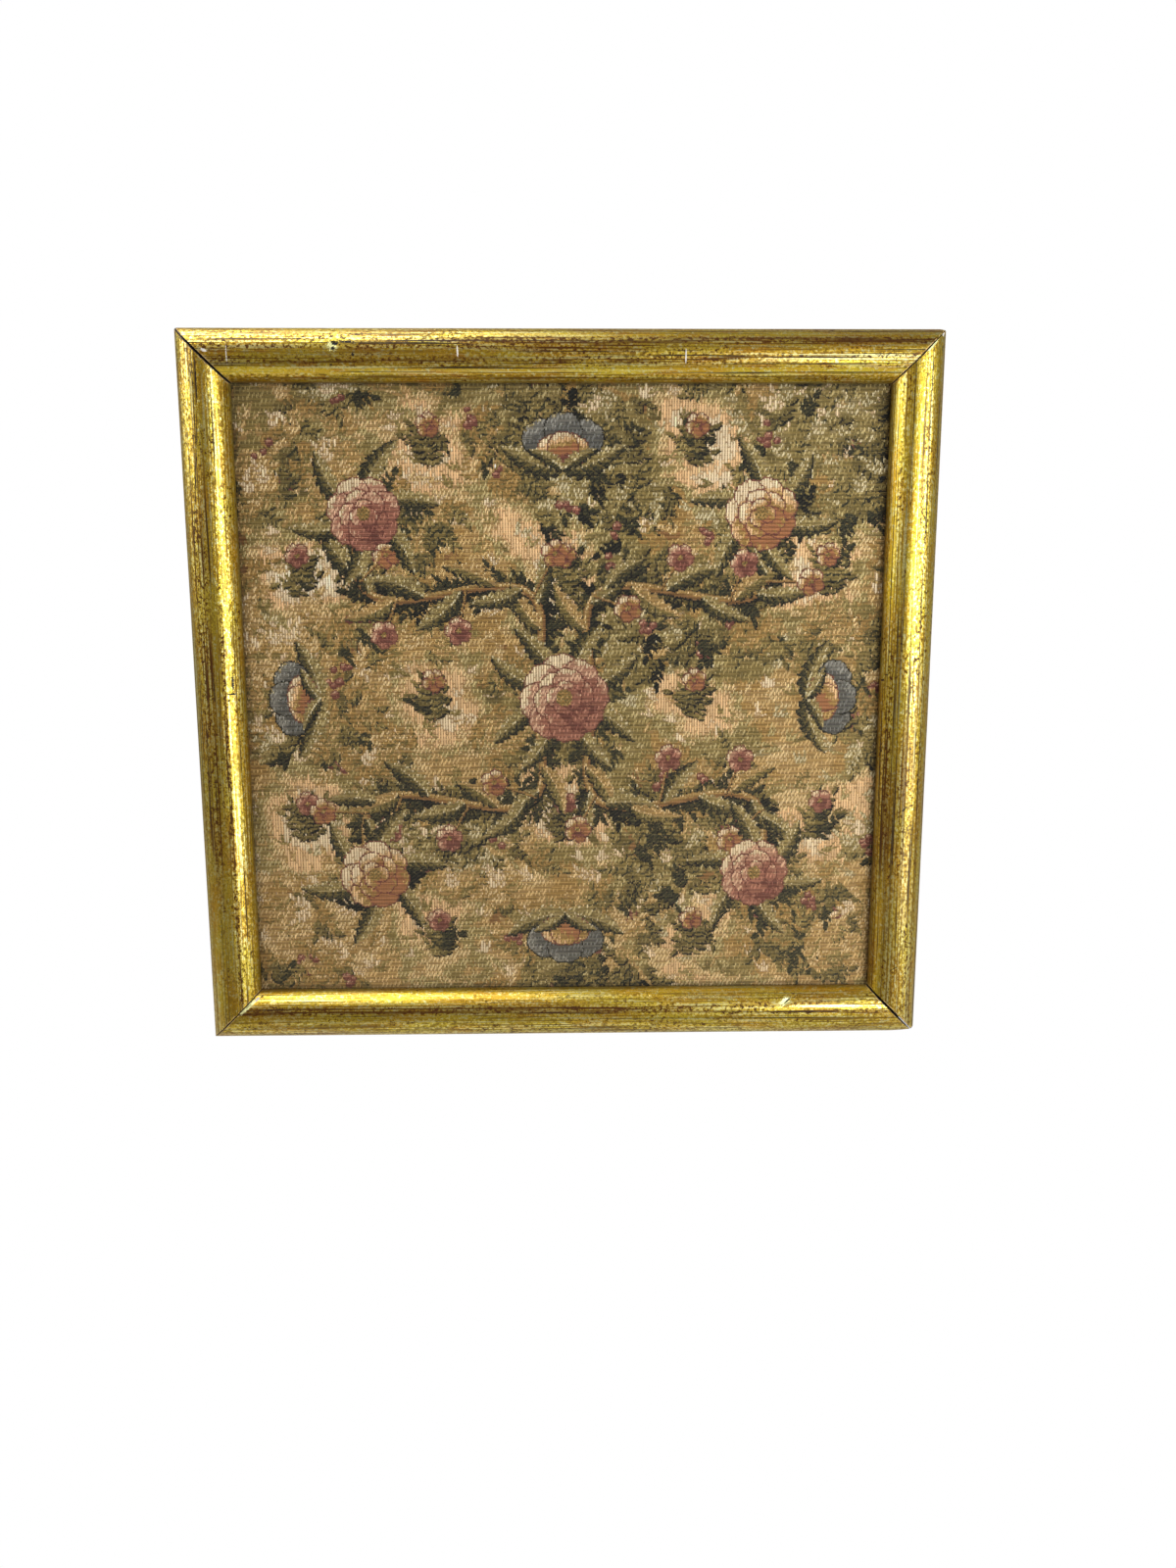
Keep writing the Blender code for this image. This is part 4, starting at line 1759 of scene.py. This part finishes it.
    def _floats(self, name: str, threads: list[Thread], finish: Material) -> Piece:
        """Raised round-backed strips, one for each float, whose ends dive between the ribs.

        Args:
            name: the piece's name.
            threads: the floats.
            finish: its material.

        Returns:
            The piece.
        """
        draw = np.random.default_rng(len(threads))
        count = len(threads)
        column = np.array([t.column for t in threads], dtype=float)
        first = np.array([t.first for t in threads], dtype=float)
        last = np.array([t.last for t in threads], dtype=float)
        colour = np.array([t.colour for t in threads])
        middle = self._x(column + 0.5) + draw.normal(0, 0.06 * MM, count)
        low, high = self._z(first) - 0.1 * MM, self._z(last) + 0.1 * MM
        dive = np.minimum(0.6 * MM, (high - low) * 0.35)
        stops = np.stack([low, low + dive, high - dive, high], axis=1)
        lean = draw.normal(0, 0.07 * MM, (count, 1)) * np.array([-1.0, -0.4, 0.4, 1.0])
        crest = self.float_y + draw.normal(0, 0.04 * MM, (count, 1))
        rise = np.array([0.0, 1.0, 1.0, 0.0])
        top = self.valley_y + (crest - self.valley_y) * rise
        side = np.broadcast_to(self.valley_y + (self.crest_y - self.valley_y) * 0.5 * rise, top.shape)
        full = np.where(last - first > self.long_rows, self.long_width, self.short_width)[:, None]
        width = (full + draw.normal(0, 0.04 * MM, (count, 1))) * np.array([0.7, 1.0, 1.0, 0.7])
        spots = []
        for share, height in ((-1.0, side), (0.0, top), (1.0, side)):
            spots.append(np.stack([middle[:, None] + lean + share * width, height, stops], axis=2))
        points = np.stack(spots, axis=2).reshape(-1, 3)
        base = (np.arange(count) * 12)[:, None, None, None]
        line = np.arange(3)[None, :, None, None] * 3
        strip = np.arange(2)[None, None, :, None]
        quads = (base + line + strip + np.array([0, 1, 4, 3])[None, None, None, :]).reshape(-1, 4)
        piece = new_piece(name, points, [tuple(q) for q in quads.tolist()], [finish], sharp=180.0)
        self._dress(piece, np.repeat(colour, 24, axis=0))
        return piece

    def _sheet(self, shelf: EffectShelf) -> Piece:
        """The cloth itself, whose back shows and whose margins lie in the rabbet.

        Args:
            shelf: the shared effects.

        Returns:
            The sheet.
        """
        columns, lines = self.sheet_columns, self.sheet_lines
        x = np.linspace(-self.flat_width / 2, self.flat_width / 2, columns + 1)
        z = np.linspace(-self.flat_height / 2, self.flat_height / 2, lines + 1) + CENTRE.z
        grid_x, grid_z = np.meshgrid(x, z)
        ridge = (np.arange(lines + 1) % 2)[:, None] * 0.25 * MM
        back = np.stack([grid_x, self.back_y - ridge + 0 * grid_x, grid_z], axis=2).reshape(-1, 3)
        wide = columns + 1
        size = wide * (lines + 1)
        rim = [0, columns, size - 1, size - wide]
        front = back[rim]
        front[:, 1] = self.valley_y + 0.1 * MM
        start = (np.arange(lines)[:, None] * wide + np.arange(columns)[None, :]).reshape(-1, 1)
        faces = (start + np.array([[wide, 1 + wide, 1, 0]])).tolist()
        faces.append([size, size + 1, size + 2, size + 3])
        faces += [[rim[k], rim[(k + 1) % 4], size + (k + 1) % 4, size + k] for k in range(4)]
        finish = YarnFinish("cloth_back", 300.0, 4000.0, 0.5, True).make(shelf)
        points = np.concatenate([back, front])
        sheet = new_piece("tapestry_sheet", points, [tuple(f) for f in faces], [finish])
        edge = np.tile(np.array([dye(126, 108, 74)]), (5, 1))
        dyes = np.concatenate([self._back_dyes(), edge])
        self._dress(sheet, np.repeat(dyes, 4, axis=0))
        return sheet

    def _back_dyes(self) -> np.ndarray:
        """The back's colours: the yarns that the front has no use for lie there, so tones are reversed.

        Returns:
            Linear colours, bottom line first.
        """
        draw = np.random.default_rng(61)
        lines, columns = self.sheet_lines, self.sheet_columns
        row = np.linspace(0, self.rows - 1, lines).astype(int)[:, None]
        column = np.linspace(0, self.columns - 1, columns).astype(int)[None, :]
        light = np.array([sum(PASSAGES[name].ribs[0]) for name in NAMES])
        rank = np.argsort(np.argsort(light)) / len(NAMES)
        streak = cloud((lines, columns), (120, 14), 62) - 0.5 + draw.normal(0, 0.12, (lines, 1))
        reversed_tone = np.clip(0.95 - 0.8 * rank[self.cells[row, column]] + 0.5 * streak, 0, 0.999)
        chosen = np.array(BACK_YARNS)[(reversed_tone * len(BACK_YARNS)).astype(int)]
        return (chosen * draw.normal(1.0, 0.12, (lines, columns, 1))).reshape(-1, 3)

    def _dress(self, piece: Piece, colours: np.ndarray) -> None:
        """Gives a piece its yarns' colours and its maps.

        Args:
            piece: the piece.
            colours: one colour for each corner of each face.
        """
        mesh = piece.data
        loops = corner_points(mesh)
        full = np.ones((len(loops), 4), dtype=np.float32)
        full[:, :3] = colours
        dyed = mesh.color_attributes.new("yarn", "FLOAT_COLOR", "CORNER")
        dyed.data.foreach_set("color", full.reshape(-1))
        points = np.empty(len(mesh.vertices) * 3)
        mesh.vertices.foreach_get("co", points)
        origin = [float(self._x(0.0)), float(self._z(0.0))]
        flat = points.reshape(-1, 3)[loops][:, [0, 2]] - origin
        low, high = flat.min(axis=0), flat.max(axis=0)
        add_maps(mesh, {CLOTH_MAP: flat, BAKE_MAP: (flat - low) / (high - low) * 0.98 + 0.01})


@dataclass(frozen=True)
class ViewPoint:
    """The camera, as solved from the photograph's frame corners."""

    place: Place = (0.0012, -0.6849, -0.1231)
    yaw: float = 1.05
    pitch: float = 9.89
    roll: float = -0.10
    lens: float = 27.04

    def build(self) -> None:
        """Makes the camera and hands it to the scene."""
        yaw, pitch, roll = (math.radians(angle) for angle in (self.yaw, self.pitch, self.roll))
        ahead = Vector((math.sin(yaw) * math.cos(pitch), math.cos(yaw) * math.cos(pitch), -math.sin(pitch)))
        level = Vector((math.cos(yaw), -math.sin(yaw), 0.0))
        right = math.cos(roll) * level + math.sin(roll) * level.cross(ahead)
        facing = Matrix((right, right.cross(ahead), -ahead)).transposed().to_4x4()
        data = bpy.data.cameras.new("camera")
        data.lens = self.lens
        data.sensor_width = 36.0
        data.clip_start = 0.01
        camera = bpy.data.objects.new("camera", data)
        camera.matrix_world = Matrix.Translation(self.place) @ facing
        bpy.context.scene.collection.objects.link(camera)
        bpy.context.scene.camera = camera


@dataclass(frozen=True)
class SoftLight:
    """A flat light that faces the point that it is aimed at."""

    name: str
    place: Place
    width: float
    height: float
    radiance: float
    colour: Colour = (1.0, 1.0, 1.0)
    aim: Place = tuple(CENTRE)

    def build(self) -> None:
        """Makes the light."""
        data = bpy.data.lights.new(self.name, "AREA")
        data.shape = "RECTANGLE"
        data.size = self.width
        data.size_y = self.height
        data.energy = self.radiance * math.pi * self.width * self.height
        data.color = self.colour
        light = bpy.data.objects.new(self.name, data)
        light.location = self.place
        way = Vector(self.place) - Vector(self.aim)
        light.rotation_euler = way.to_track_quat("Z", "Y").to_euler()
        bpy.context.scene.collection.objects.link(light)


DAYLIGHT = (0.97, 1.0, 1.05)
LAMPLIGHT = (1.0, 0.99, 0.95)
LIGHTS = (
    SoftLight("window_right", (1.31, -1.15, -0.20), 1.38, 1.00, 6.0, DAYLIGHT, (1.31, 0.0, -0.20)),
    SoftLight("window_near", (0.365, -0.62, -0.14), 0.27, 0.38, 3.6, DAYLIGHT, (0.365, 0.0, -0.14)),
    SoftLight("window_left", (-1.355, -0.49, 0.32), 1.30, 0.62, 3.2),
    SoftLight("ceiling_light", (-0.65, -0.275, 1.31), 0.86, 1.45, 5.6, LAMPLIGHT, (-0.65, -0.2751, 0.0)),
)


@dataclass(frozen=True)
class Studio:
    """The pale room: a white backdrop to the camera, soft grey to everything else, and a floor."""

    front_tone: Colour = (0.113, 0.086, 0.073)
    low_tone: Colour = (0.160, 0.136, 0.118)
    rear_tone: Colour = (0.24, 0.23, 0.22)
    floor_tone: float = 0.76
    floor_drop: float = 0.50
    floor_front: float = 0.62
    floor_size: float = 5.0

    def build(self) -> None:
        """Sets the world and the tone curve, and lays the floor."""
        scene = bpy.context.scene
        scene.view_settings.view_transform = "Standard"
        world = bpy.data.worlds.new("studio")
        world.use_nodes = True
        scene.world = world
        world.node_tree.nodes.clear()
        desk = NodeDesk(world.node_tree)
        seen = desk.put("ShaderNodeLightPath").outputs["Is Camera Ray"]
        way = desk.split(desk.put("ShaderNodeTexCoord").outputs["Generated"])
        tone = desk.mix(desk.step(way[2], 0.1, -0.3), self.front_tone, self.low_tone)
        tone = desk.mix(desk.step(way[1], -0.25, 0.3), tone, self.rear_tone)
        sky = desk.put("ShaderNodeBackground", {"Color": desk.mix(seen, tone, (1.0, 1.0, 1.0))})
        desk.put("ShaderNodeOutputWorld", {"Surface": sky.outputs[0]})
        self._lay_floor()

    def _lay_floor(self) -> None:
        """Lays a pale floor well below the hung picture."""
        half = self.floor_size / 2
        level = CENTRE.z - PICTURE_HEIGHT / 2 - self.floor_drop
        corners = [(-half, -self.floor_front), (half, -self.floor_front), (half, half), (-half, half)]
        points = np.array([(x, y, level) for x, y in corners])
        material, desk, shader = new_material("pale_floor")
        shader.inputs["Base Color"].default_value = (*[self.floor_tone] * 3, 1.0)
        shader.inputs["Roughness"].default_value = 0.9
        seen = desk.put("ShaderNodeLightPath").outputs["Is Camera Ray"]
        plain = desk.put("ShaderNodeEmission", {"Color": (1.0, 1.0, 1.0), "Strength": 1.0})
        both = desk.put("ShaderNodeMixShader", {0: seen, 1: shader.outputs[0], 2: plain.outputs[0]})
        desk.feed(material.node_tree.nodes["Material Output"].inputs["Surface"], both.outputs[0])
        new_piece("floor", points, [(0, 1, 2, 3)], [material])


TOP_MARKS = marks(
    {
        MarkKind.GESSO: (
            (-56.4, 17.6, 3.1, 0.50, 0.00, 87, 0.25),
            (66.7, 20.0, 4.2, 0.42, 0.00, 90, 0.30),
            (-192.1, 17.1, 1.6, 0.80, 0.12, 20, 0.80),
            (-180.1, 19.0, 4.8, 0.24, 0.00, 90, 1.00),
        ),
        MarkKind.RUBBED_AND_PAINTED_HIGHLIGHT: (
            (-123.5, 15.0, 2.6, 2.40, 0.00, 60, 0.90),
            (150.0, 18.9, 34.0, 0.20, 0.00, 0, 0.50),
            (150.0, 21.1, 52.0, 0.22, 0.00, 0, 0.50),
        ),
        MarkKind.DARK: (
            (-122.2, 13.3, 1.9, 1.10, 0.35, 20, 0.90),
            (-123.0, 16.2, 1.1, 1.00, 0.25, 90, 0.80),
            (-112.6, 19.3, 1.2, 0.90, 0.25, 50, 0.90),
            (-116.2, 12.4, 4.0, 0.45, 0.00, 3, 0.90),
            (-124.6, 24.5, 0.6, 0.50, 0.10, 0, 0.80),
        ),
    }
)
LEFT_MARKS = marks(
    {
        MarkKind.DARK: (
            (173.2, 16.9, 14.0, 0.42, 0.10, 0, 0.30),
            (122.0, 13.5, 38.0, 0.26, 0.05, 5.2, 0.50),
            (3.9, 27.2, 2.7, 0.42, 0.20, 88, 0.30),
            (0.2, 25.1, 1.0, 0.45, 0.20, 40, 0.70),
            (10.5, 27.9, 4.5, 0.60, 0.15, 0, 1.40),
            (6.4, 17.4, 9.0, 0.30, 0.05, 0, 0.40),
        ),
    }
)
RIGHT_MARKS = marks(
    {
        MarkKind.DARK: (
            (-10.2, 34.8, 1.9, 0.50, 0.35, 80, 0.30),
            (-13.6, 31.7, 1.6, 0.25, 0.10, 75, 0.60),
            (47.9, 9.6, 2.0, 0.30, 0.10, 40, 0.50),
            (64.0, 18.0, 1.4, 0.50, 0.10, 30, 1.30),
            (28.7, 15.5, 0.6, 0.45, 0.10, 0, 0.80),
            (-190.9, 5.2, 2.2, 0.50, 0.00, 0, 1.10),
            (160.1, 20.0, 2.6, 0.25, 0.10, 60, 0.50),
        ),
        MarkKind.GESSO: (
            (-198.9, 4.9, 1.4, 0.90, 0.10, 30, 0.70),
        ),
        MarkKind.RUBBED_AND_PAINTED_HIGHLIGHT: (
            (-192.2, 13.1, 4.6, 0.80, 0.15, 45, 0.50),
        ),
    }
)
BOTTOM_MARKS = marks(
    {
        MarkKind.RUBBED_AND_PAINTED_HIGHLIGHT: (
            # This first row is a painted highlight: a bright streak where a reflection falls, not a rub.
            (-156.0, 23.1, 22.0, 0.75, 0.00, 0, 0.60),
            (-130.5, 26.2, 3.8, 1.90, 0.25, -40, 0.90),
            (186.6, 26.2, 7.4, 1.10, 0.25, -46, 0.50),
        ),
        MarkKind.DARK: (
            (-131.9, 26.5, 2.4, 0.50, 0.45, -40, 0.60),
            (-137.0, 29.2, 1.8, 0.25, 0.10, -30, 0.90),
            (180.1, 32.0, 1.3, 0.40, 0.20, -50, 0.60),
            (171.1, 23.2, 11.0, 0.24, 0.05, 0, 0.60),
        ),
        MarkKind.GESSO: (
            (182.7, 30.0, 1.9, 0.90, 0.20, -50, 0.60),
        ),
    }
)

# For each painted band of shade or highlight: its middle and its half width across the rail, in metres, and
# how much more toning it holds, where less is a painted highlight
TOP_PAINTED_REFLECTIONS = (
    PaintedReflectionBand(0.0278, 0.0028, -0.9),
    PaintedReflectionBand(0.0220, 0.0030, 0.3, end=0.10),
    PaintedReflectionBand(0.0110, 0.0020, 0.35, start=-0.10, end=-0.04),
    PaintedReflectionBand(0.0150, 0.0018, 0.4, end=-0.03),
    PaintedReflectionBand(0.0150, 0.0050, 0.3, start=-0.04, end=0.06),
    PaintedReflectionBand(0.0108, 0.0030, 0.5, start=-0.06),
    PaintedReflectionBand(0.0068, 0.0022, -0.5, start=-0.05),
    PaintedReflectionBand(0.0195, 0.0018, 0.35, start=0.11),
)
RIGHT_PAINTED_REFLECTIONS = (
    PaintedReflectionBand(0.0310, 0.0030, -0.8, end=-0.05),
    PaintedReflectionBand(0.0053, 0.0022, -0.6),
    PaintedReflectionBand(0.0190, 0.0035, -0.4, end=-0.03),
    PaintedReflectionBand(0.0290, 0.0030, 0.3, start=-0.04, end=0.10),
    PaintedReflectionBand(0.0300, 0.0032, -0.4, start=0.11),
    PaintedReflectionBand(0.0118, 0.0024, -0.15, start=0.02, end=0.11),
    PaintedReflectionBand(0.0195, 0.0030, 0.2, start=0.03, end=0.10),
)
BOTTOM_PAINTED_REFLECTIONS = (
    PaintedReflectionBand(0.0222, 0.0034, 0.55, start=-0.10),
    PaintedReflectionBand(0.0230, 0.0016, -0.9, end=-0.135, fade=0.015),
    PaintedReflectionBand(0.0198, 0.0020, 0.3, end=-0.10),
    PaintedReflectionBand(0.0310, 0.0034, -0.6, start=0.01),
    PaintedReflectionBand(0.0280, 0.0028, -0.4, start=0.05),
    PaintedReflectionBand(0.0335, 0.0020, -0.5),
)
LEFT_PAINTED_REFLECTIONS = (
    PaintedReflectionBand(0.0135, 0.0060, 0.35, start=-0.10, end=0.11),
    PaintedReflectionBand(0.0262, 0.0028, -0.3, start=-0.11),
    PaintedReflectionBand(0.0232, 0.0018, 0.45, end=0.05),
    PaintedReflectionBand(0.0036, 0.0018, -0.5, end=0.10),
    PaintedReflectionBand(0.0090, 0.0050, -0.35, end=-0.10),
)


SOFTWOOD = BareWoodFinish("bare_softwood", dye(196, 160, 112), dye(156, 116, 74), dye(196, 160, 112))
OPEN_MITRE = BareWoodFinish("open_mitre", dye(58, 44, 34), dye(34, 26, 22), dye(198, 176, 138))
FINISHES = (
    GiltFinish("gilt_top", 1.3, TOP_MARKS, 0.5, 0.4, 0.6, painted_reflections=TOP_PAINTED_REFLECTIONS),
    # The right rail's three dimming numbers paint shade that dims its reflection over its lower part.
    GiltFinish("gilt_right", 2.7, RIGHT_MARKS, 0.5, 0.9, 0.2, (-0.05, 0.08, 0.42), RIGHT_PAINTED_REFLECTIONS),
    GiltFinish("gilt_bottom", 3.9, BOTTOM_MARKS, 0.7, 0.6, 0.3, painted_reflections=BOTTOM_PAINTED_REFLECTIONS),
    GiltFinish("gilt_left", 5.1, LEFT_MARKS, 0.5, 0.5, 0.2, painted_reflections=LEFT_PAINTED_REFLECTIONS),
)
RAILS = (
    GiltRail("rail_top", 0, TOP_LEFT, TOP_RIGHT, FINISHES[0]),
    GiltRail("rail_right", 90, TOP_RIGHT, BOTTOM_RIGHT, FINISHES[1]),
    GiltRail("rail_bottom", 180, BOTTOM_RIGHT, BOTTOM_LEFT, FINISHES[2]),
    GiltRail("rail_left", 270, BOTTOM_LEFT, TOP_LEFT, FINISHES[3]),
)


def main() -> None:
    """Builds the picture where the CAD has it, then the camera, the lights and the room."""
    logging.basicConfig(level=logging.INFO, format="%(message)s")
    ViewPoint().build()
    for light in LIGHTS:
        light.build()
    Studio().build()
    shelf = EffectShelf()
    wood, joint = SOFTWOOD.make(shelf), OPEN_MITRE.make(shelf)
    for piece in [rail.build(shelf, wood, joint) for rail in RAILS] + Tapestry().build(shelf):
        logging.info("%s: %d faces", piece.name, len(piece.data.polygons))


if __name__ == "__main__":
    main()
